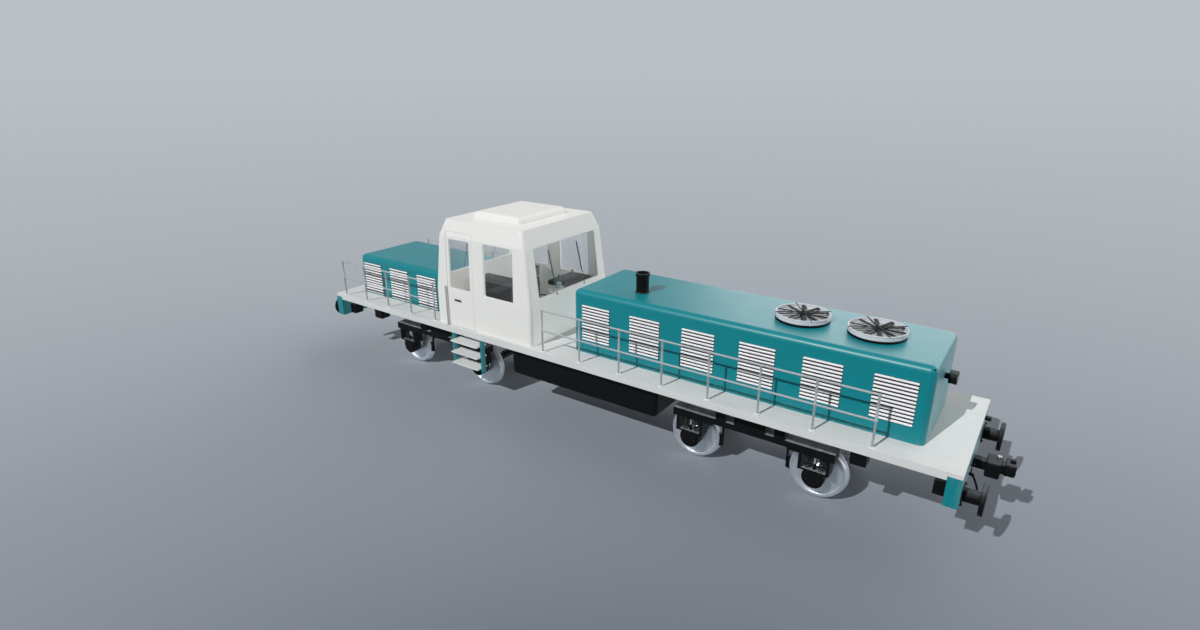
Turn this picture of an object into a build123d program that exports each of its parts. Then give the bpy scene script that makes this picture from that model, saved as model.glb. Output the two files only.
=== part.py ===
"""Diesel shunting locomotive, B-B wheel arrangement, with a raised cab between a long and a short hood.

Frame: +X along the locomotive towards the long hood's end, +Y to the left side seen from the cab
looking that way, +Z up.  The origin is under the middle of the underframe, at the level of the wheel
flanges' lowest points, on which the locomotive stands when it is off its rails.  Sizes are millimetres.
"""
import os
from functools import cache
from math import radians, sin, tan

from build123d import *

# ---------------------------------------------------------------- driving dimensions
# wheels' height above the origin: a flange hangs below the top of the rail
flange_height = 28
rail_top = flange_height

# deck and underframe; heights given from rail_top are above the rails
deck_length = 15600
deck_width = 3100
deck_top = rail_top + 1680
deck_thickness = 150
edge_inset = 55               # handrails and step stiles inside the deck's edge
sill_offset = 525             # centre of each main sill from the centre line
sill_width = 150
sill_height = 330
bolster_length = 760
bolster_half_width = 1210
bolster_depth = 200
pivot_offset = 4200           # bogie pivots, each way from the middle
outrigger_stations = (-6800, -5300, -2750, 2750, 5300, 6800)
outrigger_thickness = 30
outrigger_root_depth = 130
outrigger_tip_depth = 50
outrigger_reach = 1250        # from the centre line
cross_member_stations = (-6300, -2100, 0, 2100, 6300)
cross_member_thickness = 80
cross_member_depth = 200

# air reservoir across the sills
reservoir_x = -2150
reservoir_radius = 70
reservoir_half_length = 1010
reservoir_dome = 30
reservoir_drop = 145          # of its centre line below the sills
reservoir_hanger = 60

# headstock (buffer beam) at each end
beam_thickness = 220
beam_top_drop = 80            # top of the beam below the deck's top
beam_height = 525
coupler_slot_width = 330
coupler_slot_height = 250

# buffers and couplers
draw_height = rail_top + 1170     # buffer and coupler centres
buffer_offset = 1180          # each buffer from the centre line
buffer_reach = 340            # buffer face in front of the beam
buffer_head_radius = 292
buffer_head_thickness = 58
buffer_head_edge = 26         # how far the head's rim is rounded off
buffer_barrel_radius = 115
buffer_barrel_root = 122      # radius where the barrel meets its flange
buffer_plunger_radius = 100
buffer_barrel_length = 180
buffer_flange_side = 300
buffer_flange_thickness = 18
buffer_pocket_length = 190
buffer_pocket_side = 250
buffer_pocket_rise = 40       # of its centre above the buffer's
coupler_reach = 640           # coupler face in front of the beam
coupler_pivot_inset = 420     # coupler pin behind the beam's front face
coupler_shank_side = 170
coupler_body_length = 260
coupler_body_width = 360
coupler_body_height = 320
coupler_body_chamfer = 36
coupler_neck_length = 90      # taper from the shank to the body
coupler_head_length = 200
coupler_head_height = 270
coupler_head_chamfer = 10
coupler_head_width_share = 0.84   # of the body's width
coupler_pin_radius = 45
lock_pin_radius = 26
lock_pin_height = 30
draft_box_wall = 30

# brake hose of the front end, air cocks and jumper socket, seen from the cab towards each end
hose_offset = -500
hose_diameter = 36
# the hose's route: reach in front of the beam, height from the draw height
hose_route = [(70, -25), (106, -85), (160, -215), (172, -320), (160, -400)]
hose_coupling_length = 70
hose_coupling_radius = 26
hose_coupling_claw = 62
cock_reach = 50
cock_radius = 28
cock_handle = 110
cock_handle_side = 20
main_cock_offset = -300
main_cock_rise = 65
brake_cock_rise = 5
socket_offset = 1000
socket_rise = 375
socket_radius = 45
socket_reach = 100

# hoods
hood_half_width = 990
hood_wall = 40
hood_edge_radius = 120
long_hood_start = -20
long_hood_end = 7130
long_hood_height = 1400       # above the deck
short_hood_start = -7320
short_hood_height = 1055
hood_to_cab_gap = 2

# louvre panels
louvre_width = 685
louvre_depth = 40
louvre_rail_width = 22
louvre_rail_depth = 14
louvre_slats = 12
louvre_slat_height = 34
louvre_slat_lap = 4           # of the slats into the rails that carry them
louvre_opening_lap = 12       # the hood's opening inside the panel's edge
long_louvre_height = 815
long_louvre_bottom = 292      # above the deck
long_louvre_first = 575
long_louvre_pitch = 1197
long_louvre_count = 6
short_louvre_height = 850
short_louvre_bottom = 24
short_louvre_first = -6795
short_louvre_pitch = 1057
short_louvre_count = 3

# cab
cab_centre = -2320
cab_wall = 60
cab_corner_radius = 70
# levels of the cab's outside: height above the deck, half length, half width
cab_levels = [
    (0, 1490, 1450),
    (860, 1482, 1450),
    (2180, 1322, 1403),
    (2550, 1165, 1300),
]
cab_wall_slope_levels = (1, 2)   # the levels between which the windows lie
side_window = (-2235, -1345, 920, 2140)       # start and end along X, bottom and top above the deck
end_window_half_width = 1120
end_window_bottom = 1030      # above the deck
end_window_top = 2155
rear_window_rise = 100        # its lower edge above the short hood's top
window_corner_radius = 40
glass_thickness = 10
glass_clearance = 1
roof_unit_half_length = 700
roof_unit_half_width = 843
roof_unit_height = 150
roof_unit_chamfer = 60

# cab doors, one each side, opening inwards
door_start = -3420            # latch edge
door_end = -2570              # hinge edge
door_bottom_gap = 12
door_height = 2290            # above the deck
door_latch_clearance = 18
door_hinge_clearance = 8
door_window_margin = 100      # from the leaf's upright edges
door_window_bottom = 945
door_window_top_margin = 175
door_leaf = 45
door_handle_height = 675      # above the deck
door_handle_length = 200
door_handle_width = 34
door_handle_thickness = 12
door_handle_stand_off = 22
door_handle_from_latch = 340
hinge_pin_radius = 14
hinge_pin_height = 60
hinge_knuckle_wall = 14
hinge_heights = (260, 900)    # above the deck
hinge_axis_inset = 175        # of the hinge pins from the cab's widest line

# window wipers on each end of the cab: places across the window, tilt in degrees
wiper_places = (-508, 526)
wiper_tilt = 7.5
wiper_blade = 700
wiper_blade_width = 14
wiper_blade_height = 26
wiper_arm_width = 9
wiper_arm_thickness = 10
wiper_pivot_drop = 28         # below the window's lower edge
wiper_reach = 700             # from the pivot to the blade's middle
wiper_stand_off = 14
wiper_boss_radius = 16

# cab furniture, heights above the deck
desk_wall_gap = 110
desk_depth = 640
desk_far = 1230
desk_near = 420
desk_height = 960
desk_rise = 110
desk_knee = 300
desk_apron = 140
cabinet_start = -3420
cabinet_end = -2080
cabinet_near = -400
cabinet_far = -50
cabinet_height = 960
wing_start = -2430
wing_near = -1180
brake_stand_x = -1300
brake_stand_y = 130
brake_stand_side = 180
brake_stand_height = 940
brake_valve_radius = 55
brake_valve_height = 90
seat_x = -1560
seat_y = -180
seat_turn = 20                # degrees
seat_width = 450
seat_depth = 460
seat_height = 560
seat_cushion = 120
seat_back_height = 900
seat_back_thickness = 110
seat_post_radius = 50
seat_foot_radius = 170
seat_foot_thickness = 20

# walkway handrails
rail_height = 986
rail_tube_radius = 18
stanchion_radius = 20
stanchion_ball_radius = 28
stanchion_foot_radius = 44
stanchion_foot_thickness = 14
long_rail_first = -490
long_rail_pitch = 989
long_rail_count = 8
short_rail_first = -7404
short_rail_pitch = 879
short_rail_count = 5
grab_pole_x = -3435

# cab steps
step_stile_x = (-3250, -2340)
step_stile_width = 55
step_stile_depth = 110
step_bottom = rail_top + 680
step_tread_outer = 120        # tread's outer edge outside the deck's edge
step_tread_depth = 330
step_tread_thickness = 30
step_tread_first = rail_top + 820
step_tread_pitch = 280
step_tread_count = 3

# tank and boxes below the deck
tank_start = -1610
tank_end = 2260
tank_inset = 250              # of its sides inside the deck's edges
tank_bottom = rail_top + 800
tank_radius = 110
tank_sill_clearance = 6
sand_box_x = 6235
sand_box_length = 270
sand_box_width = 270
sand_box_inset = 130
sand_box_bevel = 18
sand_box_bottom = rail_top + 1220

# roof equipment of the long hood
stack_x = 1310
stack_y = -340
stack_radius = 135
stack_height = 425
stack_rim_radius = 152
stack_rim_height = 40
stack_wall = 14
fan_stations = (4615, 5955)
fan_base_radius = 500
fan_base_height = 45
fan_ring_radius = 522
fan_ring_wall = 30
fan_ring_height = 95
fan_floor_thickness = 6
fan_guard_angles = (35, 125)
fan_guard_width = 14
fan_guard_height = 10
fan_guard_pin_radius = 6
fan_guard_pin_height = 60
fan_blade_count = 10
fan_blade_width = 92
fan_blade_thickness = 7
fan_blade_pitch = 24
fan_rotor_radius = 470
fan_hub_radius = 80
fan_hub_height = 40
fan_rotor_floor = 40          # hub's underside above the cowl's floor
fan_shaft_radius = 25
fan_bearing_wall = 25
fan_bearing_height = 34
lamp_radius = 118
lamp_length = 200
lamp_neck_length = 70
lamp_neck_radius = 52
lamp_rim = 12
lamp_drop = 485               # of the front lamp's centre below the hood's top
rear_lamp_drop = 260
engine_start = 900
engine_end = 4100
engine_half_width = 520
engine_height = 1150

# bogies
wheelbase = 2500
bogie_frame_half_length = 1600
bogie_beam_inner = 880
bogie_beam_outer = 1150
bogie_beam_bottom = rail_top + 965
bogie_beam_top = rail_top + 1130
transom_half_length = 260
pivot_pin_radius = 90
running_clearance = 0.05
bearer_half_length = 310
bearer_gap = 0.3
beam_cap_start = 1370         # a heavier cap on each end of a side beam, from here out
beam_cap_rise = 8
lug_start = 480               # upright lugs on the side beams, each way from the pivot
lug_end = 690
lug_height = 180
lug_width = 200
beam_waist = 40               # the beam's underside rises this much between the axles
beam_waist_half = 760
cheek_reach = 285             # outer face of a pedestal cheek from the axle
cheek_thickness = 60
cheek_bottom = rail_top + 650
cheek_inset = 20              # cheeks and spring seats outside the beam's inner face
axlebox_radius = 205
axlebox_inner = 900
axlebox_outer = 1130
axlebox_seat_bottom = rail_top + 640
axlebox_seat_top = rail_top + 680
cheek_clearance = 3
cover_lip = 14                # bearing cover stands this far out of its housing
cover_radius = 150
spring_radius = 66
spring_coils = 5
spring_waist = 12             # depth of the grooves between coils
spring_offset = 125
damper_radius = 30
damper_rod_radius = 16
damper_forward = 40           # of the springs' line
damper_body_share = 0.45

# brake blocks hung from the side beams
brake_clearance = 8           # block to tread
brake_block_thickness = 55
brake_block_width = 78
brake_block_angle = 26        # degrees that the block covers
brake_flange_clearance = 12
brake_hanger_side = 36
brake_pin_radius = 20
brake_pin_height = 60         # pin's centre above the beam's underside

# wheelsets
wheel_radius = 525
rim_width = 130
flange_width = 32
wheel_inner_face = 720
rim_depth = 70
web_thickness = 32
hub_radius = 150
hub_width = 180
axle_radius = 85
wheel_seat_radius = 98
tread_cone = 4                # fall of the tread across its width
journal_radius = 65
journal_end = 1090
journal_end_play = 5

# ---------------------------------------------------------------- derived places
deck_bottom = deck_top - deck_thickness
deck_end = deck_length / 2
beam_top = deck_top - beam_top_drop
beam_bottom = beam_top - beam_height
beam_front = deck_end
beam_back = deck_end - beam_thickness
sill_bottom = deck_bottom - sill_height
bolster_bottom = deck_bottom - bolster_depth
long_hood_top = deck_top + long_hood_height
short_hood_top = deck_top + short_hood_height
cab_half_length = cab_levels[0][1]
cab_half_width = cab_levels[0][2]
cab_roof = deck_top + cab_levels[-1][0]
short_hood_end = cab_centre - cab_half_length - hood_to_cab_gap
hinge_axis_y = cab_half_width - hinge_axis_inset
door_window = (door_start + door_window_margin, door_end - door_window_margin, door_window_bottom,
               door_height - door_window_top_margin)
rail_offset = deck_width / 2 - edge_inset
step_offset = deck_width / 2 - edge_inset
tank_half_width = deck_width / 2 - tank_inset
sand_box_outer = deck_width / 2 - sand_box_inset
sand_box_inner = sand_box_outer - sand_box_width
upper_rail = deck_top + rail_height - stanchion_ball_radius
middle_rail = deck_top + rail_height / 2
fan_floor = long_hood_top + fan_base_height
fan_top = fan_floor + fan_ring_height
axle_height = rail_top + wheel_radius

# the two ends of the locomotive: name, direction along X
ENDS = [("front", 1), ("rear", -1)]
# the two sides: name, direction along Y (the right side is -Y)
SIDES = [("right", -1), ("left", 1)]


# ---------------------------------------------------------------- helpers
def block(x0, x1, y0, y1, z0, z1):
    """A box between two corners, given as low and high values along each axis in either order."""
    size = (abs(x1 - x0), abs(y1 - y0), abs(z1 - z0))
    return Pos((x0 + x1) / 2, (y0 + y1) / 2, (z0 + z1) / 2) * Box(*size)


def rod_z(x, y, z0, z1, radius):
    """An upright cylinder."""
    return Pos(x, y, (z0 + z1) / 2) * Cylinder(radius, abs(z1 - z0))


def rod_y(x, y0, y1, z, radius):
    """A cylinder lying across the locomotive."""
    return Pos(x, (y0 + y1) / 2, z) * Rot(90, 0, 0) * Cylinder(radius, abs(y1 - y0))


def rod_x(x0, x1, y, z, radius):
    """A cylinder lying along the locomotive."""
    return Pos((x0 + x1) / 2, y, z) * Rot(0, 90, 0) * Cylinder(radius, abs(x1 - x0))


def mirror_y(shape):
    """The same shape on the other side of the locomotive."""
    return mirror(shape, about=Plane.XZ)


def both_sides(shape):
    return [shape, mirror_y(shape)]


def turned(points):
    """A solid turned about the X axis from (distance along X, radius) points."""
    return revolve(make_face(Polyline(*points, close=True)), Axis.X)


def facing(shape, end):
    """A shape drawn for the front end, turned half round about Z for the rear."""
    return shape if end > 0 else Rot(0, 0, 180) * shape


def save(name, *shapes):
    """Writes one node's solids to its STEP file."""
    solids = []
    for shape in shapes:
        solids += list(shape.solids())
    export_step(Compound(children=solids), f"parts/{name}.step")


# ---------------------------------------------------------------- underframe
def deck():
    """Deck plate, rebated at both ends so that each headstock tucks under its edge."""
    plate = block(-deck_end, deck_end, -deck_width / 2, deck_width / 2, deck_bottom, deck_top)
    for _, end in ENDS:
        plate -= block(end * beam_back, end * (deck_end + 1), -deck_width, deck_width,
                       deck_bottom - 1, beam_top)
    return plate


def underframe():
    """Two main sills with a bolster and a pivot pin over each bogie, and the draft boxes."""
    sills = [block(-beam_back, beam_back, side * sill_offset - sill_width / 2,
                   side * sill_offset + sill_width / 2, sill_bottom, deck_bottom) for _, side in SIDES]
    frame = sills[0] + sills[1]
    for _, end in ENDS:
        pivot = end * pivot_offset
        frame += block(pivot - bolster_length / 2, pivot + bolster_length / 2,
                       -bolster_half_width, bolster_half_width, bolster_bottom, deck_bottom)
        frame += rod_z(pivot, 0, bogie_beam_bottom + 20, bolster_bottom + 1, pivot_pin_radius)
        frame += draft_box(end)
    return frame


def outriggers():
    """Tapered brackets that carry the walkways' edges, one each side of every station."""
    root = sill_offset + sill_width / 2
    profile = make_face(Polyline((root, deck_bottom), (outrigger_reach, deck_bottom),
                                 (outrigger_reach, deck_bottom - outrigger_tip_depth),
                                 (root, deck_bottom - outrigger_root_depth), close=True))
    bracket = extrude(Plane.YZ * profile, outrigger_thickness / 2, both=True)
    return [Pos(station, 0, 0) * piece for station in outrigger_stations for piece in both_sides(bracket)]


def cross_members():
    """Bars between the sills, flush with their tops."""
    inner = sill_offset - sill_width / 2
    return [block(station - cross_member_thickness / 2, station + cross_member_thickness / 2, -inner, inner,
                  deck_bottom - cross_member_depth, deck_bottom) for station in cross_member_stations]


def air_reservoir():
    """A pressure vessel across the sills with domed ends, hung from both of them."""
    z = sill_bottom - reservoir_drop
    end = reservoir_half_length
    vessel = turned([(-end, 0), (-end, reservoir_radius - reservoir_dome), (-end + reservoir_dome, reservoir_radius),
                     (end - reservoir_dome, reservoir_radius), (end, reservoir_radius - reservoir_dome), (end, 0)])
    vessel = Pos(reservoir_x, 0, z) * (Rot(0, 0, 90) * vessel)
    for _, side in SIDES:
        vessel += block(reservoir_x - reservoir_hanger / 2, reservoir_x + reservoir_hanger / 2,
                        side * sill_offset - reservoir_hanger / 2, side * sill_offset + reservoir_hanger / 2,
                        z, sill_bottom)
    return vessel


def draft_box(end):
    """Walls above and below the coupler's pin, spanning the sills."""
    pin = beam_front - coupler_pivot_inset
    half = coupler_shank_side / 2 + 8
    reach = sill_offset
    wide = [block(end * (pin - 200), end * beam_back, -reach, reach, draw_height + half,
                  draw_height + half + draft_box_wall),
            block(end * (pin - 200), end * beam_back, -reach, reach, draw_height - half - draft_box_wall,
                  draw_height - half)]
    cheeks = [block(end * (pin - 200), end * beam_back, side * (reach - sill_width / 2),
                    side * (reach + sill_width / 2), draw_height - half - draft_box_wall, sill_bottom + 1)
              for _, side in SIDES]
    box = wide[0] + wide[1] + cheeks[0] + cheeks[1]
    pin_rod = rod_z(end * pin, 0, draw_height - half - 1, draw_height + half + 1, coupler_pin_radius)
    return box + pin_rod


def headstocks():
    """The two teal buffer beams, each with a slot for the coupler's shank."""
    beams = []
    for _, end in ENDS:
        beam = block(end * beam_back, end * beam_front, -deck_width / 2, deck_width / 2, beam_bottom, beam_top)
        beam -= block(end * (beam_back - 1), end * (beam_front + 1), -coupler_slot_width / 2,
                      coupler_slot_width / 2, draw_height - coupler_slot_height / 2,
                      draw_height + coupler_slot_height / 2)
        beams.append(beam)
    return beams


def buffer(side):
    """Square flange, barrel, plunger and round head on the beam's front, turned about one line."""
    barrel_end = buffer_flange_thickness + buffer_barrel_length
    back = buffer_reach - buffer_head_thickness
    edge = buffer_head_edge
    rim = buffer_head_radius
    piece = turned([(0, 0), (0, buffer_barrel_root), (buffer_flange_thickness, buffer_barrel_root),
                    (barrel_end, buffer_barrel_radius), (barrel_end, buffer_plunger_radius),
                    (back, buffer_plunger_radius), (back, rim - edge), (back + edge / 3, rim - edge / 3),
                    (back + edge, rim), (buffer_reach - edge, rim), (buffer_reach - edge / 3, rim - edge / 3),
                    (buffer_reach, rim - edge), (buffer_reach, 0)])
    half = buffer_flange_side / 2
    flange = block(0, buffer_flange_thickness, -half, half, -half, half)
    return Pos(beam_front, side * buffer_offset, draw_height) * (piece + flange)


def buffer_pocket(side):
    """The spring pocket behind the beam: a square box."""
    half = buffer_pocket_side / 2
    z = draw_height + buffer_pocket_rise
    return block(beam_back - buffer_pocket_length, beam_back, side * buffer_offset - half,
                 side * buffer_offset + half, z - half, z + half)


def coupler():
    """Automatic centre coupler: shank on a pin, a neck that widens into a deep body, and a clawed head."""
    pin = beam_front - coupler_pivot_inset
    face = beam_front + coupler_reach
    body_front = face - coupler_head_length
    body_back = body_front - coupler_body_length
    half = coupler_shank_side / 2
    wide = coupler_body_width / 2
    piece = block(pin - 2 * coupler_pin_radius, body_back, -half, half, draw_height - half, draw_height + half)
    across = Plane.YZ.offset(body_back)
    neck = loft([across * Rectangle(coupler_shank_side, coupler_shank_side),
                 across.offset(coupler_neck_length) * Rectangle(coupler_body_width - 2 * coupler_body_chamfer,
                                                                coupler_body_height - 2 * coupler_body_chamfer)])
    piece += Pos(0, 0, draw_height) * neck
    body = block(body_back + coupler_neck_length, body_front, -wide, wide,
                 draw_height - coupler_body_height / 2, draw_height + coupler_body_height / 2)
    piece += chamfer(body.edges().filter_by(Axis.X), coupler_body_chamfer)
    piece += coupler_head(body_front)
    piece += rod_z(body_front - lock_pin_radius * 2, 0, draw_height, draw_height + coupler_body_height / 2
                   + lock_pin_height, lock_pin_radius)
    return piece - rod_z(pin, 0, draw_height - half - 1, draw_height + half + 1,
                         coupler_pin_radius + running_clearance)


def coupler_head(x):
    """Claws of the head: a guard arm on the left, a knuckle on the right and a pocket between, seen from above."""
    reach = coupler_head_length
    wide = coupler_body_width / 2 * coupler_head_width_share
    outline = [(0, -wide), (0.72 * reach, -1.08 * wide), (reach, -0.86 * wide), (reach, -0.38 * wide),
               (0.76 * reach, -0.10 * wide), (0.42 * reach, -0.16 * wide), (0.34 * reach, 0.28 * wide),
               (0.58 * reach, 0.70 * wide), (reach, 0.96 * wide), (reach, 1.18 * wide), (0.5 * reach, 1.28 * wide),
               (0, wide)]
    head = extrude(make_face(Polyline(*outline, close=True)), coupler_head_height)
    head = chamfer(head.faces().sort_by(Axis.Z)[-1].edges(), coupler_head_chamfer)
    return Pos(x, 0, draw_height - coupler_head_height / 2) * head


def hose_points():
    """The front brake hose's route, from its cock to its coupling."""
    return [(beam_front + reach, hose_offset, draw_height + rise) for reach, rise in hose_route]


def brake_hose():
    """A hose of straight runs joined by arcs as large as the runs allow."""
    points = [Vector(*point) for point in hose_points()]
    runs = [after - before for before, after in zip(points, points[1:])]
    radii = []
    for run, following in zip(runs, runs[1:]):
        half_turn = radians(run.get_angle(following)) / 2
        radii.append(0.45 * min(run.length, following.length) / tan(half_turn))
    print("hose radii", [round(radius) for radius in radii], "length", round(sum(run.length for run in runs)))
    path = FilletPolyline(*points, radius=radii)
    section = Plane(points[0], z_dir=runs[0]) * Circle(hose_diameter / 2)
    return sweep(section, path=path)


def hose_coupling():
    """The hose's coupling: a sleeve in line with the hose's end, with a claw across its foot."""
    points = [Vector(*point) for point in hose_points()]
    place = Plane(points[-1], z_dir=points[-1] - points[-2])
    sleeve = Pos(0, 0, hose_coupling_length / 2) * Cylinder(hose_coupling_radius, hose_coupling_length)
    claw = Pos(0, hose_coupling_claw / 4, hose_coupling_length * 0.7) * Box(
        hose_coupling_radius, hose_coupling_claw, hose_coupling_radius)
    return place * (sleeve + claw)


def cock(offset, rise, nozzle):
    """An air cock on the beam: a round body and an upright handle, with a nozzle for a hose where one hangs."""
    z = draw_height + rise
    piece = rod_x(beam_front, beam_front + cock_reach, offset, z, cock_radius)
    middle = beam_front + cock_reach / 2
    piece += block(middle - cock_handle_side / 2, middle + cock_handle_side / 2, offset - cock_handle_side / 2,
                   offset + cock_handle_side / 2, z, z + cock_handle)
    if nozzle:
        points = [Vector(*point) for point in hose_points()]
        place = Plane(points[0], z_dir=points[0] - points[1])
        piece += place * (Pos(0, 0, cock_radius) * Cylinder(cock_radius - 4, 2 * cock_radius))
    return piece


def beam_fittings():
    """Two air cocks and a jumper socket on the front of a beam."""
    socket = rod_x(beam_front, beam_front + socket_reach, socket_offset, draw_height + socket_rise, socket_radius)
    return [cock(main_cock_offset, main_cock_rise, False), cock(hose_offset, brake_cock_rise, True), socket]


# ---------------------------------------------------------------- hoods
def hood(x0, x1, top, open_end):
    """A hollow sheet-metal hood with rounded upright and top edges; open_end is left sharp (0 for none)."""
    shell = block(x0, x1, -hood_half_width, hood_half_width, deck_top, top)
    upright = shell.edges().filter_by(Axis.Z)
    upper = shell.faces().sort_by(Axis.Z)[-1].edges()
    if open_end > 0:
        upright = upright.sort_by(Axis.X)[:2]
        upper = [edge for edge in upper if edge.center().X < x1 - 1]
    shell = fillet(list(upright) + list(upper), hood_edge_radius)
    return shell - block(x0 + hood_wall, x1 - hood_wall, -hood_half_width + hood_wall,
                         hood_half_width - hood_wall, deck_top - 1, top - hood_wall)


def louvre_openings(first, pitch, count, bottom, height):
    """Cutters for a hood's sides, a little smaller than the louvre panels that cover them."""
    cutters = []
    for index in range(count):
        centre = first + index * pitch
        half = louvre_width / 2 - louvre_opening_lap
        cutters.append(block(centre - half, centre + half, -2 * hood_half_width, 2 * hood_half_width,
                             deck_top + bottom + louvre_opening_lap, deck_top + bottom + height - louvre_opening_lap))
    return cutters


def slat_section():
    """A slat's section against the hood: flat at the back and below, its top sloped to shed rain."""
    back = louvre_rail_depth - louvre_slat_lap
    tall = louvre_slat_height
    deep = louvre_depth
    return [(back, 0), (back, tall), (0.6 * deep, tall), (deep, 0.55 * tall), (deep, 0.2 * tall), (0.85 * deep, 0)]


def louvre(centre, bottom, height, side):
    """One louvre panel: slats across two upright rails, open between them."""
    half = louvre_width / 2
    y0 = hood_half_width
    slat = make_face(Polyline(*[(y0 + out, up) for out, up in slat_section()], close=True))
    slat = Pos(centre, 0, bottom) * extrude(Plane.YZ * slat, half, both=True)
    pitch = height / louvre_slats
    panel = block(centre - half, centre - half + louvre_rail_width, y0, y0 + louvre_rail_depth, bottom,
                  bottom + height)
    panel += block(centre + half - louvre_rail_width, centre + half, y0, y0 + louvre_rail_depth, bottom,
                   bottom + height)
    for index in range(louvre_slats):
        panel += Pos(0, 0, index * pitch + (pitch - louvre_slat_height) / 2) * slat
    return panel if side > 0 else mirror_y(panel)


def louvres(first, pitch, count, bottom, height):
    return [louvre(first + index * pitch, deck_top + bottom, height, side)
            for _, side in SIDES for index in range(count)]


# ---------------------------------------------------------------- cab
@cache
def cab_form(inset, drop=0):
    """The cab's closed form, ruled between cab_levels, inset on every side and its foot lowered by drop."""
    levels = [(deck_top + up, length - inset, width - inset) for up, length, width in cab_levels]
    top_up, top_length, top_width = levels[-1]
    low_up, low_length, low_width = levels[-2]
    part = inset / (top_up - low_up)
    levels[-1] = (top_up - inset, top_length + part * (low_length - top_length),
                  top_width + part * (low_width - top_width))
    levels[0] = (deck_top - drop, levels[0][1], levels[0][2])
    radius = max(cab_corner_radius - inset, 10)
    sections = [Pos(cab_centre, 0, z) * RectangleRounded(2 * length, 2 * width, radius)
                for z, length, width in levels]
    return loft(sections, ruled=True)


def window_cut(x0, x1, y0, y1, z0, z1, axis, grow=0):
    """A cutter for a window with rounded corners, along X or Y, made smaller by a negative grow."""
    cutter = block(x0, x1, y0, y1, z0, z1)
    direction = Axis.Y if axis == "y" else Axis.X
    cutter = fillet(cutter.edges().filter_by(direction), window_corner_radius + grow)
    return cutter


def side_window_cut(side, grow=0):
    x0, x1, low, high = side_window
    return window_cut(x0 - grow, x1 + grow, side * (hinge_axis_y - 200), side * (cab_half_width + 50),
                      deck_top + low - grow, deck_top + high + grow, "y", grow)


def end_window_low(end):
    """Height of an end window's lower edge above the deck; the rear one clears the short hood."""
    return end_window_bottom if end > 0 else max(end_window_bottom, short_hood_height + rear_window_rise)


def end_window_cut(end, grow=0):
    half = end_window_half_width + grow
    inner = cab_centre + end * (cab_half_length - 500)
    outer = cab_centre + end * (cab_half_length + 50)
    return window_cut(inner, outer, -half, half, deck_top + end_window_low(end) - grow,
                      deck_top + end_window_top + grow, "x", grow)


def door_opening(side, latch=0, hinge=0, foot=0):
    """The doorway's cutter; the leaf uses it shrunk by its clearances."""
    return block(door_start + latch, door_end - hinge, side * (hinge_axis_y - 200), side * (cab_half_width + 50),
                 deck_top + foot - (0 if foot else 1), deck_top + door_height - (hinge if foot else 0))


@cache
def cab_skin(inset, thickness):
    """The cab's wall between two insets, without its foot."""
    return cab_form(inset) - cab_form(inset + thickness, 1)


def cab_shell():
    """The cab's walls and roof with windows, doorways and the doors' hinge pins."""
    shell = cab_skin(0, cab_wall)
    for _, side in SIDES:
        shell -= side_window_cut(side)
        shell -= door_opening(side)
    for _, end in ENDS:
        shell -= end_window_cut(end)
    for _, side in SIDES:
        shell += hinge_eyes(side)
    return shell


def hinge_levels():
    return [deck_top + height for height in hinge_heights]


def hinge_eyes(side):
    """Pins carried on brackets from the inside of the wall beside the doorway."""
    eyes = None
    for z in hinge_levels():
        bracket = block(door_end - hinge_pin_radius, door_end + 60, side * (hinge_axis_y - hinge_pin_radius),
                        side * (hinge_axis_y + hinge_pin_radius), z - 30, z)
        arm = block(door_end + 12, door_end + 60, side * hinge_axis_y, side * (cab_half_width - cab_wall + 1),
                    z - 30, z)
        pin = rod_z(door_end, side * hinge_axis_y, z - 1, z + hinge_pin_height, hinge_pin_radius)
        piece = bracket + arm + pin
        eyes = piece if eyes is None else eyes + piece
    return eyes


def cab_pane(cutter):
    """Glass in the middle of the wall's thickness, following its slope."""
    return cab_skin((cab_wall - glass_thickness) / 2, glass_thickness) & cutter


def cab_glass():
    panes = [cab_pane(side_window_cut(side, -glass_clearance)) for _, side in SIDES]
    panes += [cab_pane(end_window_cut(end, -glass_clearance)) for _, end in ENDS]
    return panes


def door_window_cut(side, grow=0):
    x0, x1, low, high = door_window
    return window_cut(x0 - grow, x1 + grow, side * (hinge_axis_y - 200), side * (cab_half_width + 50),
                      deck_top + low - grow, deck_top + high + grow, "y", grow)


def door(side):
    """A leaf as thick as door_leaf, following the cab's side, with knuckles round the hinge pins."""
    opening = door_opening(side, door_latch_clearance, door_hinge_clearance, door_bottom_gap)
    leaf = cab_skin(0, door_leaf) & opening
    leaf -= door_window_cut(side)
    for z in hinge_levels():
        arm = block(door_end - 60, door_end - door_hinge_clearance, side * hinge_axis_y,
                    side * (cab_half_width - door_leaf + 5), z + 2, z + 52)
        knuckle = rod_z(door_end, side * hinge_axis_y, z + 2, z + 52, hinge_pin_radius + hinge_knuckle_wall)
        arm += block(door_end - 60, door_end, side * (hinge_axis_y - 20), side * (hinge_axis_y + 14), z + 2, z + 52)
        hole = rod_z(door_end, side * hinge_axis_y, z, z + 60, hinge_pin_radius + running_clearance)
        leaf += arm + knuckle
        leaf -= hole
    return leaf


def door_handle(side):
    """A lever handle: a round rose on the leaf and a flat lever from it towards the latch edge."""
    x = door_start + door_handle_from_latch
    z = deck_top + door_handle_height
    reach = cab_half_width + door_handle_stand_off
    lever = block(x - door_handle_length / 2, x + door_handle_length / 2, side * reach,
                  side * (reach + door_handle_thickness), z - door_handle_width / 2, z + door_handle_width / 2)
    lever = fillet(lever.edges().filter_by(Axis.Y), door_handle_width / 3)
    rose_x = x + door_handle_length / 2 - door_handle_width
    return lever + rod_y(rose_x, side * cab_half_width, side * reach, z, door_handle_width / 2)


def door_glass(side):
    glass = cab_skin((door_leaf - glass_thickness) / 2, glass_thickness)
    return glass & door_window_cut(side, -glass_clearance)


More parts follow.
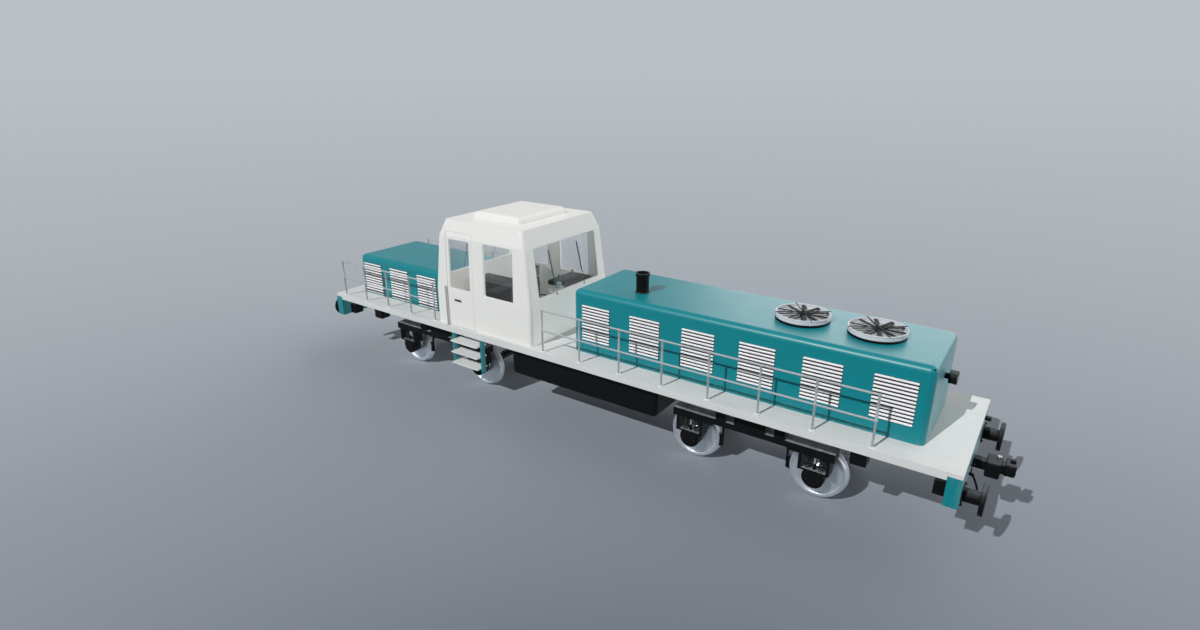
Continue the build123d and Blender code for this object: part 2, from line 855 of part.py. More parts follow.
def roof_unit():
    unit = block(cab_centre - roof_unit_half_length, cab_centre + roof_unit_half_length,
                 -roof_unit_half_width, roof_unit_half_width, cab_roof, cab_roof + roof_unit_height)
    return chamfer(unit.faces().sort_by(Axis.Z)[-1].edges(), roof_unit_chamfer)


def control_desk():
    """Driving desk at the cab's front left, its top sloped up to the window, and a cabinet behind the seat."""
    cab_front = cab_centre + cab_half_length
    desk_front = cab_front - desk_wall_gap
    desk_back = desk_front - desk_depth
    section = make_face(Polyline((desk_back, desk_height), (desk_front, desk_height + desk_rise),
                                 (desk_front, 0), (desk_back + desk_knee, 0),
                                 (desk_back + desk_knee, desk_height - desk_apron),
                                 (desk_back, desk_height - desk_apron), close=True))
    desk = Pos(0, desk_far, deck_top) * extrude(Plane.XZ * section, desk_far - desk_near)
    cabinet = block(cabinet_start, cabinet_end, cabinet_near, cabinet_far, deck_top, deck_top + cabinet_height)
    wing = block(wing_start, cabinet_end, wing_near, cabinet_near, deck_top, deck_top + cabinet_height)
    return [desk, cabinet + wing]


def brake_stand():
    """A pedestal with the brake valve beside the desk."""
    return block(brake_stand_x - brake_stand_side / 2, brake_stand_x + brake_stand_side / 2,
                 brake_stand_y - brake_stand_side / 2, brake_stand_y + brake_stand_side / 2, deck_top,
                 deck_top + brake_stand_height) + rod_z(brake_stand_x, brake_stand_y, deck_top,
                                                        deck_top + brake_stand_height + brake_valve_height,
                                                        brake_valve_radius)


def driver_seat():
    """Pedestal, cushion and a tall back, turned a little towards the desk."""
    seat = rod_z(0, 0, 0, seat_height - seat_cushion, seat_post_radius)
    seat += rod_z(0, 0, 0, seat_foot_thickness, seat_foot_radius)
    half = seat_width / 2
    seat += block(-seat_depth / 2, seat_depth / 2, -half, half, seat_height - seat_cushion, seat_height)
    back = block(-seat_depth / 2, -seat_depth / 2 + seat_back_thickness, -half, half, seat_height - seat_cushion,
                 seat_height + seat_back_height)
    return Pos(seat_x, seat_y, deck_top) * (Rot(0, 0, seat_turn) * (seat + back))


def wiper(end, place):
    """Boss, arm and blade on the slope of an end wall."""
    low_up, low_length, _ = cab_levels[cab_wall_slope_levels[0]]
    high_up, high_length, _ = cab_levels[cab_wall_slope_levels[1]]
    slope = Vector(high_length - low_length, 0, high_up - low_up).normalized()
    foot = Vector(cab_centre + low_length, 0, deck_top + low_up)
    wall = Plane(foot, x_dir=(0, 1, 0), z_dir=Vector(0, 1, 0).cross(slope))
    pivot = end_window_low(end) - low_up - wiper_pivot_drop
    boss_height = wiper_stand_off + wiper_arm_thickness
    lift = wiper_stand_off + wiper_arm_thickness / 2
    piece = Pos(0, 0, boss_height / 2) * Cylinder(wiper_boss_radius, boss_height)
    piece += Pos(0, wiper_reach / 2, lift) * Box(wiper_arm_width, wiper_reach, wiper_arm_thickness)
    piece += Pos(0, wiper_reach, wiper_blade_height / 2) * Box(wiper_blade_width, wiper_blade, wiper_blade_height)
    placed = wall * Pos(place, pivot, 0) * (Rot(0, 0, wiper_tilt) * piece)
    return placed if end > 0 else Pos(2 * cab_centre, 0, 0) * (Rot(0, 0, 180) * placed)


# ---------------------------------------------------------------- walkway fittings
def stanchion_stations(first, pitch, count):
    return [first + index * pitch for index in range(count)]


def stanchions(first, pitch, count, side):
    """Posts with a round foot and a ball joint for each of the two rails, bored for them."""
    y = side * rail_offset
    posts = []
    for x in stanchion_stations(first, pitch, count):
        post = rod_z(x, y, deck_top, upper_rail, stanchion_radius)
        post += rod_z(x, y, deck_top, deck_top + stanchion_foot_thickness, stanchion_foot_radius)
        for z in (middle_rail, upper_rail):
            post += Pos(x, y, z) * Sphere(stanchion_ball_radius)
        for z in (middle_rail, upper_rail):
            post -= rod_x(x - 2 * stanchion_ball_radius, x + 2 * stanchion_ball_radius, y, z, rail_tube_radius)
        posts.append(post)
    return posts


def rail_tubes(first, pitch, count, side):
    """The upper and the middle rail, each one tube through all its posts."""
    last = first + (count - 1) * pitch
    return [rod_x(first - stanchion_ball_radius, last + stanchion_ball_radius, side * rail_offset, z,
                  rail_tube_radius) for z in (middle_rail, upper_rail)]


def grab_pole(side):
    """An upright grab rail beside the doorway."""
    y = side * rail_offset
    pole = rod_z(grab_pole_x, y, deck_top, deck_top + rail_height, stanchion_radius)
    return pole + rod_z(grab_pole_x, y, deck_top, deck_top + stanchion_foot_thickness, stanchion_foot_radius)


def cab_steps(side):
    """Two stiles hung from the deck's underside with three treads through them."""
    y0 = side * (step_offset - step_stile_depth / 2)
    y1 = side * (step_offset + step_stile_depth / 2)
    frame = None
    for x in step_stile_x:
        stile = block(x - step_stile_width / 2, x + step_stile_width / 2, y0, y1, step_bottom, deck_bottom)
        frame = stile if frame is None else frame + stile
    return frame


def step_treads(side):
    """Treads between the stiles, standing proud of them in front and behind."""
    outer = deck_width / 2 + step_tread_outer
    inner = step_stile_width / 2
    return [block(step_stile_x[0] + inner, step_stile_x[1] - inner, side * (outer - step_tread_depth), side * outer,
                  step_tread_first + index * step_tread_pitch - step_tread_thickness,
                  step_tread_first + index * step_tread_pitch) for index in range(step_tread_count)]


# ---------------------------------------------------------------- below the deck
def fuel_tank():
    """A tank under the sills, notched along its top to straddle them, with rounded upright and lower edges."""
    tank = block(tank_start, tank_end, -tank_half_width, tank_half_width, tank_bottom, deck_bottom)
    upright = tank.edges().filter_by(Axis.Z)
    lower = tank.faces().sort_by(Axis.Z)[0].edges()
    tank = fillet(list(upright) + list(lower), tank_radius)
    notch = sill_offset + sill_width / 2 + tank_sill_clearance
    return tank - block(tank_start - 1, tank_end + 1, -notch, notch, sill_bottom - tank_sill_clearance,
                        deck_bottom + 1)


def sand_boxes():
    """A box under the walkway outside each bogie, with a bevelled foot."""
    boxes = []
    for _, end in ENDS:
        for _, side in SIDES:
            box = block(end * (sand_box_x - sand_box_length / 2), end * (sand_box_x + sand_box_length / 2),
                        side * sand_box_inner, side * sand_box_outer, sand_box_bottom, deck_bottom)
            boxes.append(chamfer(box.faces().sort_by(Axis.Z)[0].edges(), sand_box_bevel))
    return boxes


# ---------------------------------------------------------------- long hood's fittings
def exhaust_stack():
    pipe = rod_z(stack_x, stack_y, long_hood_top, long_hood_top + stack_height, stack_radius)
    pipe += rod_z(stack_x, stack_y, long_hood_top + stack_height - stack_rim_height,
                  long_hood_top + stack_height, stack_rim_radius)
    return pipe - rod_z(stack_x, stack_y, long_hood_top + 60, long_hood_top + stack_height + 1,
                        stack_radius - stack_wall)


def fan_base(station):
    """The curb on the hood's roof that a cowl stands on."""
    curb = rod_z(station, 0, long_hood_top, fan_floor, fan_base_radius)
    return curb - rod_z(station, 0, long_hood_top - 1, fan_floor + 1, fan_base_radius - fan_ring_wall)


def fan_cowl(station):
    """A round pan: a ring with a floor, and in its middle the boss that carries the fan's shaft."""
    cowl = rod_z(station, 0, fan_floor, fan_top, fan_ring_radius)
    cowl -= rod_z(station, 0, fan_floor + fan_floor_thickness, fan_top + 1, fan_ring_radius - fan_ring_wall)
    boss_top = fan_floor + fan_bearing_height
    cowl += rod_z(station, 0, fan_floor, boss_top, fan_shaft_radius + fan_bearing_wall)
    return cowl - rod_z(station, 0, fan_floor - 1, boss_top + 1, fan_shaft_radius + running_clearance)


def fan_guard(station):
    """Two bars crossed over the ring with a pin where they meet."""
    guard = rod_z(station, 0, fan_top, fan_top + fan_guard_height + fan_guard_pin_height, fan_guard_pin_radius)
    for angle in fan_guard_angles:
        bar = Box(2 * fan_ring_radius, fan_guard_width, fan_guard_height)
        guard += Pos(station, 0, fan_top + fan_guard_height / 2) * (Rot(0, 0, angle) * bar)
    return guard


def fan_rotor(station):
    """Hub on its shaft with pitched blades."""
    low = fan_floor + fan_rotor_floor
    rotor = rod_z(station, 0, low, low + fan_hub_height, fan_hub_radius)
    rotor += rod_z(station, 0, fan_floor, low + 1, fan_shaft_radius)
    length = fan_rotor_radius - fan_hub_radius + fan_blade_thickness
    blade = Pos(fan_rotor_radius - length / 2, 0, 0) * Rot(fan_blade_pitch, 0, 0) * Box(
        length, fan_blade_width, fan_blade_thickness)
    for index in range(fan_blade_count):
        placed = Rot(0, 0, 360 * index / fan_blade_count) * blade
        rotor += Pos(station, 0, low + fan_hub_height / 2) * placed
    return rotor


def headlamp(end, height):
    """A round lamp on a neck, its rim standing proud round a recessed lens."""
    x = long_hood_end if end > 0 else -short_hood_start
    body = x + lamp_neck_length
    front = x + lamp_length
    lens = front - lamp_rim
    profile = [(x, 0), (x, lamp_neck_radius), (body, lamp_neck_radius), (body, lamp_radius), (front, lamp_radius),
               (front, lamp_radius - lamp_rim), (lens, lamp_radius - lamp_rim), (lens, 0)]
    return facing(Pos(0, 0, height) * turned(profile), end)


def engine_block():
    """The engine and generator as one plain mass on the deck inside the long hood."""
    return block(engine_start, engine_end, -engine_half_width, engine_half_width, deck_top,
                 deck_top + engine_height)


# ---------------------------------------------------------------- bogies
def axle_stations(end):
    return [end * pivot_offset - wheelbase / 2, end * pivot_offset + wheelbase / 2]


def side_beam(side):
    """One side beam about the pivot, its underside raised between the axles and its ends deepened."""
    half = bogie_frame_half_length
    outline = [(-half, bogie_beam_bottom), (-half, bogie_beam_top), (half, bogie_beam_top),
               (half, bogie_beam_bottom), (beam_waist_half, bogie_beam_bottom),
               (beam_waist_half - beam_waist, bogie_beam_bottom + beam_waist),
               (-beam_waist_half + beam_waist, bogie_beam_bottom + beam_waist), (-beam_waist_half, bogie_beam_bottom)]
    face = Plane.XZ * make_face(Polyline(*outline, close=True))
    beam = Pos(0, bogie_beam_outer, 0) * extrude(face, bogie_beam_outer - bogie_beam_inner)
    return beam if side > 0 else mirror_y(beam)


def bogie_frame(end):
    """H-frame: two side beams with pedestal cheeks, a transom with the pivot's bore, and side bearers."""
    frame = block(-transom_half_length, transom_half_length, -bogie_beam_outer, bogie_beam_outer,
                  bogie_beam_bottom + beam_waist, bogie_beam_top)
    for _, side in SIDES:
        frame += side_beam(side)
        for axle in (-wheelbase / 2, wheelbase / 2):
            for direction in (-1, 1):
                frame += block(axle + direction * (cheek_reach - cheek_thickness), axle + direction * cheek_reach,
                               side * (bogie_beam_inner + cheek_inset), side * bogie_beam_outer,
                               cheek_bottom, bogie_beam_bottom + 1)
        frame += block(-bearer_half_length, bearer_half_length, side * (bogie_beam_inner + cheek_inset),
                       side * bogie_beam_outer, bogie_beam_top - 1, bolster_bottom - bearer_gap)
        for direction in (-1, 1):
            frame += block(direction * lug_start, direction * lug_end, side * (bogie_beam_outer - lug_width),
                           side * bogie_beam_outer, bogie_beam_top - 1, bogie_beam_top + lug_height)
            frame += block(direction * beam_cap_start, direction * (bogie_frame_half_length + beam_cap_rise),
                           side * bogie_beam_inner, side * (bogie_beam_outer + beam_cap_rise),
                           bogie_beam_bottom, bogie_beam_top + beam_cap_rise)
    frame -= rod_z(0, 0, bogie_beam_bottom - 1, bogie_beam_top + 1, pivot_pin_radius + running_clearance)
    return Pos(end * pivot_offset, 0, 0) * frame


def axleboxes(end):
    """Round bearing housings with a cover on the end and a spring seat across the top of each."""
    boxes = []
    half = cheek_reach - cheek_thickness - cheek_clearance
    face = axlebox_outer - cover_lip
    for axle in axle_stations(end):
        for _, side in SIDES:
            box = rod_y(axle, side * axlebox_inner, side * face, axle_height, axlebox_radius)
            box += rod_y(axle, side * axlebox_inner, side * axlebox_outer, axle_height, cover_radius)
            box += block(axle - half, axle + half, side * (bogie_beam_inner + cheek_inset), side * axlebox_outer,
                         axlebox_seat_bottom, axlebox_seat_top)
            box -= block(axle - half, axle + half, side * (axlebox_inner - 1), side * (axlebox_outer + 1),
                         axlebox_seat_top, axle_height + axlebox_radius + 1)
            box -= rod_y(axle, side * (axlebox_inner - 1), side * (journal_end + journal_end_play), axle_height,
                         journal_radius + running_clearance)
            boxes.append(box)
    return boxes


def coil_spring(length):
    """A coil spring's envelope from its seat up: a turned column with a groove between each two coils."""
    pitch = length / spring_coils
    points = [(0, 0)]
    for coil in range(spring_coils):
        start = coil * pitch
        points += [(start, spring_radius - spring_waist), (start + pitch * 0.3, spring_radius),
                   (start + pitch * 0.7, spring_radius)]
    points += [(length, spring_radius - spring_waist), (length, 0)]
    return Rot(0, -90, 0) * turned(points)


def damper(length):
    """A damper: its body below and its rod above."""
    body = length * damper_body_share
    return rod_z(0, 0, 0, body, damper_radius) + rod_z(0, 0, 0, length, damper_rod_radius)


def springs(end):
    """Two coil springs and a damper on each axlebox, standing on its seat under the side beam."""
    pieces = []
    length = bogie_beam_bottom - axlebox_seat_top
    y_middle = (bogie_beam_inner + cheek_inset + bogie_beam_outer) / 2
    coil = coil_spring(length)
    strut = damper(length)
    for axle in axle_stations(end):
        for _, side in SIDES:
            for direction in (-1, 1):
                pieces.append(Pos(axle + direction * spring_offset, side * y_middle, axlebox_seat_top) * coil)
            pieces.append(Pos(axle, side * (y_middle + damper_forward), axlebox_seat_top) * strut)
    return pieces


def brake_gear(end):
    """A brake block on the bogie's side of every wheel, on a hanger from a pin in the side beam."""
    pieces = []
    y0 = wheel_inner_face + flange_width + brake_flange_clearance
    y1 = y0 + brake_block_width
    inner_radius = wheel_radius + brake_clearance
    pin_z = bogie_beam_bottom + brake_pin_height
    for axle in (-wheelbase / 2, wheelbase / 2):
        toward = -1 if axle > 0 else 1
        ring = rod_y(0, y0, y1, 0, inner_radius + brake_block_thickness) - rod_y(0, y0 - 1, y1 + 1, 0, inner_radius)
        depth = (inner_radius + brake_block_thickness) * sin(radians(brake_block_angle / 2))
        ring &= block(0, toward * 2 * wheel_radius, y0, y1, -depth, depth)
        gear = Pos(axle, 0, axle_height) * ring
        hanger_x = axle + toward * (inner_radius + brake_block_thickness)
        gear += block(hanger_x - toward * brake_hanger_side / 2, hanger_x + toward * brake_hanger_side / 2,
                      (y0 + y1 - brake_hanger_side) / 2, (y0 + y1 + brake_hanger_side) / 2, axle_height - depth,
                      pin_z + brake_pin_radius)
        gear += rod_y(hanger_x, (y0 + y1 - brake_hanger_side) / 2, bogie_beam_inner, pin_z, brake_pin_radius)
        pieces += both_sides(Pos(end * pivot_offset, 0, 0) * gear)
    return pieces


def turned_about_y(profile, x, z):
    """A solid turned about the axle's line from (distance along Y, radius) points."""
    section = make_face(Polyline(*profile, close=True))
    return Pos(x, 0, z) * (Rot(0, 0, 90) * revolve(section, Axis.X))


def wheels(axle):
    """The two wheels: flange and tread, rim, thin web, hub."""
    inner = wheel_inner_face
    outer = inner + rim_width
    middle = inner + rim_width / 2
    web = web_thickness / 2
    rim_inner = wheel_radius - rim_depth
    profile = [
        (middle - hub_width / 2, wheel_seat_radius), (middle - hub_width / 2, hub_radius),
        (middle - web, hub_radius), (middle - web, rim_inner), (inner, rim_inner),
        (inner, wheel_radius + flange_height), (inner + flange_width / 2, wheel_radius + flange_height),
        (inner + flange_width, wheel_radius), (outer, wheel_radius - tread_cone), (outer, rim_inner),
        (middle + web, rim_inner), (middle + web, hub_radius), (middle + hub_width / 2, hub_radius),
        (middle + hub_width / 2, wheel_seat_radius),
    ]
    return both_sides(turned_about_y(profile, axle, axle_height))


def axle_shaft(axle):
    """The axle: a thick middle, a seat for each wheel and a journal at each end."""
    middle = wheel_inner_face + rim_width / 2
    seat_in = middle - hub_width / 2
    seat_out = middle + hub_width / 2
    right = [(-journal_end, 0), (-journal_end, journal_radius), (-seat_out, journal_radius),
             (-seat_out, wheel_seat_radius), (-seat_in, wheel_seat_radius), (-seat_in, axle_radius)]
    left = [(-distance, radius) for distance, radius in reversed(right)]
    return turned_about_y(right + left, axle, axle_height)


# ---------------------------------------------------------------- output
def build():
    os.makedirs("parts", exist_ok=True)
    save("deck", deck())
    save("underframe", underframe())
    save("outriggers", *outriggers())
    save("cross_members", *cross_members())
    save("air_reservoir", air_reservoir())
    save("headstocks", *headstocks())
    save("buffers", *[facing(buffer(side), end) for _, end in ENDS for _, side in SIDES])
    save("buffer_pockets", *[facing(buffer_pocket(side), end) for _, end in ENDS for _, side in SIDES])
    for name, end in ENDS:
        save(f"coupler_{name}", facing(coupler(), end))
    save("beam_fittings", *[facing(piece, end) for _, end in ENDS for piece in beam_fittings()])
    save("brake_hose", brake_hose())
    save("hose_coupling", hose_coupling())
    long_louvres = (long_louvre_first, long_louvre_pitch, long_louvre_count, long_louvre_bottom,
                    long_louvre_height)
    short_louvres = (short_louvre_first, short_louvre_pitch, short_louvre_count, short_louvre_bottom,
                     short_louvre_height)
    save("hood_long", hood(long_hood_start, long_hood_end, long_hood_top, 0) - louvre_openings(*long_louvres))
    save("hood_short", hood(short_hood_start, short_hood_end, short_hood_top, 1) - louvre_openings(*short_louvres))
    save("louvres_long", *louvres(*long_louvres))
    save("louvres_short", *louvres(*short_louvres))
    save("cab_shell", cab_shell())
    save("cab_glass", *cab_glass())
    save("cab_roof_unit", roof_unit())
    save("wipers", *[wiper(end, place) for _, end in ENDS for place in wiper_places])
    save("control_desk", *control_desk())
    save("brake_stand", brake_stand())
    save("driver_seat", driver_seat())
    for name, side in SIDES:
        save(f"door_{name}", door(side))
        save(f"door_glass_{name}", door_glass(side))
        save(f"door_handle_{name}", door_handle(side))
    runs = [(long_rail_first, long_rail_pitch, long_rail_count), (short_rail_first, short_rail_pitch, short_rail_count)]
    save("handrail_posts", *[post for run in runs for _, side in SIDES for post in stanchions(*run, side)],
         *[grab_pole(side) for _, side in SIDES])
    save("handrail_tubes", *[tube for run in runs for _, side in SIDES for tube in rail_tubes(*run, side)])
    save("step_stiles", *[cab_steps(side) for _, side in SIDES])
    save("step_treads", *[tread for _, side in SIDES for tread in step_treads(side)])
    save("fuel_tank", fuel_tank())
    save("sand_boxes", *sand_boxes())
    save("exhaust_stack", exhaust_stack())
    save("fan_bases", *[fan_base(station) for station in fan_stations])
    save("fan_cowls", *[fan_cowl(station) for station in fan_stations])
    save("fan_guards", *[fan_guard(station) for station in fan_stations])
    for number, station in enumerate(fan_stations, 1):
        save(f"fan_rotor_{number}", fan_rotor(station))
    save("headlamps", headlamp(1, long_hood_top - lamp_drop), headlamp(-1, short_hood_top - rear_lamp_drop))
    save("engine_block", engine_block())
    number = 0
    for name, end in ENDS:
        save(f"bogie_frame_{name}", bogie_frame(end))
        save(f"axleboxes_{name}", *axleboxes(end))
        save(f"springs_{name}", *springs(end))
        save(f"brake_gear_{name}", *brake_gear(end))
        for axle in sorted(axle_stations(end), reverse=True):
            number += 1
            save(f"wheels_{number}", *wheels(axle))
            save(f"axle_{number}", axle_shaft(axle))


build()
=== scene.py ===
# %% [markdown]
# # A shunting locomotive, dressed over its CAD frame
# The object is a four-axle diesel shunter: a cab that looks over a long and a short hood, railed
# walkways, and two bogies. The rigid plates already come from CAD at their real size. What is left for
# Blender is what a lathe, a spring winder, a paint shop and an upholsterer would add. So every new piece
# is a surface worked out from a formula, and every finish starts from how the real one was made.

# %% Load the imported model
import math

import bmesh
import bpy
import numpy as np
from mathutils import Euler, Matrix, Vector


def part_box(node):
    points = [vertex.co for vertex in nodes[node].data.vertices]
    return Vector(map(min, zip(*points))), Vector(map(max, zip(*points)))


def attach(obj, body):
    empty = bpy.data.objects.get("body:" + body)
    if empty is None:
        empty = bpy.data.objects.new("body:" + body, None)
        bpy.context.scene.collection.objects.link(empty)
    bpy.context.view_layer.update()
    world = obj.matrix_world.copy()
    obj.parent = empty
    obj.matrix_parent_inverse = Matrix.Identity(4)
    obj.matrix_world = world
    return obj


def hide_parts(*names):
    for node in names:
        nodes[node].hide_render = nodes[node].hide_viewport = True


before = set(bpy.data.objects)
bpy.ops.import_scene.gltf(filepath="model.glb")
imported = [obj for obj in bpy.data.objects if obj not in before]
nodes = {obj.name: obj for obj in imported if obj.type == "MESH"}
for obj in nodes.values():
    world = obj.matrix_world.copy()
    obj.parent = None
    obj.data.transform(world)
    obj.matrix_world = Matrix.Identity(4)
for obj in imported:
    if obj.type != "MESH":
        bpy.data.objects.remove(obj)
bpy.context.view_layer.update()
deck_level = 1.708


def add_object(name, data):
    """A new object around its data, linked into the scene."""
    made = bpy.data.objects.new(name, data)
    bpy.context.scene.collection.objects.link(made)
    return made


def box_of(name):
    """Lowest and highest corner of a CAD node."""
    return [np.array(v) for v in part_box(name)]


# %% [markdown]
# ## Camera
# A long object seen from above one end fills a wide frame only when the lens is short. The view is
# given as a place, a downward tilt of 20 degrees and a turn of 35 degrees, and the lens as the angle it
# takes in, because an angle stays true whatever the size of the picture.

# %% Camera
view_foot, view_height = (8.313, -11.895), 7.503
half_width, focal_length = 600, 675.5  # in pixels of a frame 1200 wide
camera_data = bpy.data.cameras.new("camera")
camera = add_object("camera", camera_data)
bpy.context.scene.camera = camera
camera.location = (*view_foot, view_height)
camera.rotation_euler = Euler((math.radians(70), 0, math.radians(35)))
camera_data.sensor_fit = "HORIZONTAL"
camera_data.angle = 2 * math.atan(half_width / focal_length)
camera_data.clip_end = 10000
print("lens angle", round(math.degrees(camera_data.angle), 1), "degrees")

# %% [markdown]
# ## Brake hose
# The hose between two vehicles is 36 mm rubber over woven cord. Uncoupled, it hangs from its cock in
# one slack bend, held only at the top. A NURBS spline bends like that by itself: its points pull the
# line without being on it, so there is no kink anywhere. Order 3 gives the gentlest curve that still
# follows the pull, and the end points are used so that it starts in the nozzle and ends in the coupling.
# The tube's 18 mm are the radius of each point, and the bevel depth is 1, because Blender grows a curve's
# bounding box by its points' radius.

# %% Hose line
hose_points = [(7.870, -0.500, 1.173), (7.906, -0.500, 1.113), (7.960, -0.500, 0.983), (7.972, -0.500, 0.878),
               (7.960, -0.500, 0.798)]
hose_radius = 0.018
hose_curve = bpy.data.curves.new("brake_hose_line", "CURVE")
hose_curve.dimensions = "3D"
spline = hose_curve.splines.new("NURBS")
spline.points.add(len(hose_points) - 1)
spline.points.foreach_set("co", np.column_stack([hose_points, np.ones(len(hose_points))]).ravel())
spline.points.foreach_set("radius", [hose_radius] * len(hose_points))
spline.order_u = 3
spline.use_endpoint_u = True
spline.resolution_u = 12
hose_curve.bevel_depth = 1.0
hose_curve.bevel_resolution = 6
hose_curve.use_fill_caps = True
hose = add_object("hose_of_the_brake", hose_curve)
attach(hose, "locomotive")
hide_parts("brake_hose")
print("hose drops", round(hose_points[0][2] - hose_points[-1][2], 3), "m")

# %% [markdown]
# ## Colours and nodes
# Paint charts give colours as sRGB hex values, but shaders add light, so they need linear numbers. One
# function does the change. Two more add a node and feed its sockets, so that each material below reads
# like a recipe.


# %% Helpers for materials
def linear(hex_colour):
    """sRGB to linear: c/12.92 near black, else ((c+0.055)/1.055) to the power 2.4."""
    c = np.array([int(hex_colour[i:i + 2], 16) for i in (1, 3, 5)]) / 255
    lin = np.where(c <= 0.04045, c / 12.92, ((c + 0.055) / 1.055) ** 2.4)
    return (*[float(v) for v in lin], 1.0)


def feed(material, node, **inputs):
    """Fills in a node's sockets, each from a value or from a socket to link. _0 is the first socket."""
    for name, value in inputs.items():
        socket = node.inputs[int(name[1:])] if name[1:].isdigit() else node.inputs[name.replace("_", " ")]
        if isinstance(value, bpy.types.NodeSocket):
            material.node_tree.links.new(value, socket)
        else:
            socket.default_value = value
    return node


def add_node(material, kind, settings=None, **inputs):
    """Adds one node to a material or world and feeds it. settings are the node's own properties."""
    node = material.node_tree.nodes.new("ShaderNode" + kind)
    for name, value in (settings or {}).items():
        setattr(node, name, value)
    return feed(material, node, **inputs)


def new_material(name):
    """An empty material and its Principled shader, already wired to the output."""
    material = bpy.data.materials.new(name)
    material.use_nodes = True
    shader = material.node_tree.nodes["Principled BSDF"]
    return material, shader


def relief(material, height, strength, distance):
    """A normal tilted by the slope of height, whose full range stands for distance in metres."""
    return add_node(material, "Bump", Height=height, Strength=strength, Distance=distance).outputs[0]


def place_on(material):
    """The point of the surface, in metres from the object's own origin."""
    return add_node(material, "TexCoord").outputs["Object"]


def noise(material, place, size_mm, detail=3.0, rough=0.5):
    """Cloudy noise whose blobs are about size_mm across: scale is 1000 / size_mm per metre."""
    return add_node(material, "TexNoise", Vector=place, Scale=1000 / size_mm, Detail=detail,
                    Roughness=rough).outputs["Fac"]


def ramp(material, value, low, high, from_min=0.35, from_max=0.65):
    """Maps value from [from_min, from_max] to [low, high] and holds it there."""
    return add_node(material, "MapRange", {"clamp": True}, Value=value, From_Min=from_min, From_Max=from_max,
                    To_Min=low, To_Max=high).outputs["Result"]


def mix(material, fac, a, b):
    """Blends colour a into colour b by fac."""
    return add_node(material, "Mix", {"data_type": "RGBA"}, _0=fac, _6=a, _7=b).outputs[2]


def maths(material, operation, a, b=0.0):
    return add_node(material, "Math", {"operation": operation}, _0=a, _1=b).outputs[0]


# %% [markdown]
# ## Enamel on steel
# The hoods, cab and headstocks are sheet steel under sprayed alkyd enamel. Enamel is a clear resin over
# pigment: smooth, with a broad highlight and a faint orange peel, here a ripple about 9 mm long. Rail
# dust settles low down and rain leaves thin streaks that run down, so the colour and the roughness change
# together. The streaks are noise stretched along Z.


# %% Painted finishes
def enamel(name, colour, dust, roughness, coat, dust_low, dust_high, streaks=0.02, wear=0.0, bare=None):
    """Sprayed enamel: orange peel, streaks, dust that fades out by dust_high metres, and worn spots."""
    material, shader = new_material(name)
    place = place_on(material)
    stretched = add_node(material, "Mapping", Vector=place, Scale=(9.0, 9.0, 0.7)).outputs[0]
    streak = add_node(material, "TexNoise", Vector=stretched, Scale=1.6, Detail=5.0).outputs["Fac"]
    cloud = noise(material, place, 420, 4.0)
    height = add_node(material, "SeparateXYZ", Vector=place).outputs["Z"]
    low = ramp(material, height, 1.0, 0.0, dust_low, dust_high)
    grime = maths(material, "MULTIPLY", ramp(material, streak, 0.0, 0.40, 0.45, 0.72),
                  maths(material, "ADD", low, streaks))
    base = mix(material, grime, linear(colour), linear(dust))
    rough = maths(material, "ADD", ramp(material, cloud, roughness - 0.03, roughness + 0.05),
                  maths(material, "MULTIPLY", grime, 0.25))
    if wear > 0:
        chip = ramp(material, noise(material, place, 45, 6.0, 0.7), 0.0, wear, 0.60, 0.68)
        base = mix(material, chip, base, linear(bare))
        rough = maths(material, "ADD", rough, maths(material, "MULTIPLY", chip, 0.15))
    feed(material, shader, Base_Color=base, Roughness=rough, IOR=1.5, Coat_Weight=coat, Coat_Roughness=0.38,
         Coat_IOR=1.38, Specular_IOR_Level=0.08, Normal=relief(material, noise(material, place, 9, 1.0), 0.12, 0.0006))
    return material


teal_enamel = enamel("teal_alkyd_enamel", "#007B84", "#6F8F8C", 0.34, 1.0, 1.68, 1.85)
white_enamel = enamel("white_alkyd_enamel", "#DFDFDB", "#C4C3BC", 0.40, 0.35, 1.68, 1.9, 0.0)
louvre_enamel = enamel("pale_grey_louvre_enamel", "#E2E2E3", "#A9A8A2", 0.40, 0.15, 1.7, 1.9)
fan_enamel = enamel("silver_grey_fan_enamel", "#C6C9CF", "#A9A8A2", 0.40, 0.15, 1.7, 1.9)
rail_paint = enamel("silver_handrail_paint", "#A6ABAE", "#8A8C8C", 0.38, 0.10, 1.7, 2.1, wear=0.35, bare="#6E7275")
engine_paint = enamel("grey_engine_enamel", "#5A6060", "#4A4742", 0.45, 0.1, 1.7, 3.2)
print(len(bpy.data.materials), "materials so far")

# %% [markdown]
# ## Black below the deck
# Frames, bogies and the fuel tank are black under a film of brake dust. Faces that look up turn grey: partly
# that dust, which falls from above, and partly a painted sheen for the pale sky mirrored off the tops. How far
# a face looks up is the Z part of its normal.


# %% Chassis paint
def black_with_grey_tops(name, colour, dust, roughness, grain_mm, strength):
    """Black paint, grey on faces whose normal has a Z part above 0.6: partly dust, partly a painted sheen."""
    material, shader = new_material(name)
    coordinates = add_node(material, "TexCoord")
    place = coordinates.outputs["Object"]
    upward = add_node(material, "SeparateXYZ", Vector=coordinates.outputs["Normal"]).outputs["Z"]
    cloud = noise(material, place, 160, 4.0)
    # dust_and_sheen: upward faces blend to the grey, partly dust and partly a painted sheen of the sky.
    dust_and_sheen = maths(material, "MULTIPLY", ramp(material, upward, 0.0, 1.0, 0.6, 0.9),
                    ramp(material, cloud, 0.55, 0.95))
    base = mix(material, dust_and_sheen, linear(colour), linear(dust))
    rough = maths(material, "ADD", maths(material, "MULTIPLY", dust_and_sheen, 0.3),
                  ramp(material, cloud, roughness, roughness + 0.10))
    grain = noise(material, place, grain_mm, 3.0, 0.6)
    feed(material, shader, Base_Color=base, Roughness=rough, Specular_IOR_Level=0.14,
         Normal=relief(material, grain, strength, 0.001))
    return material


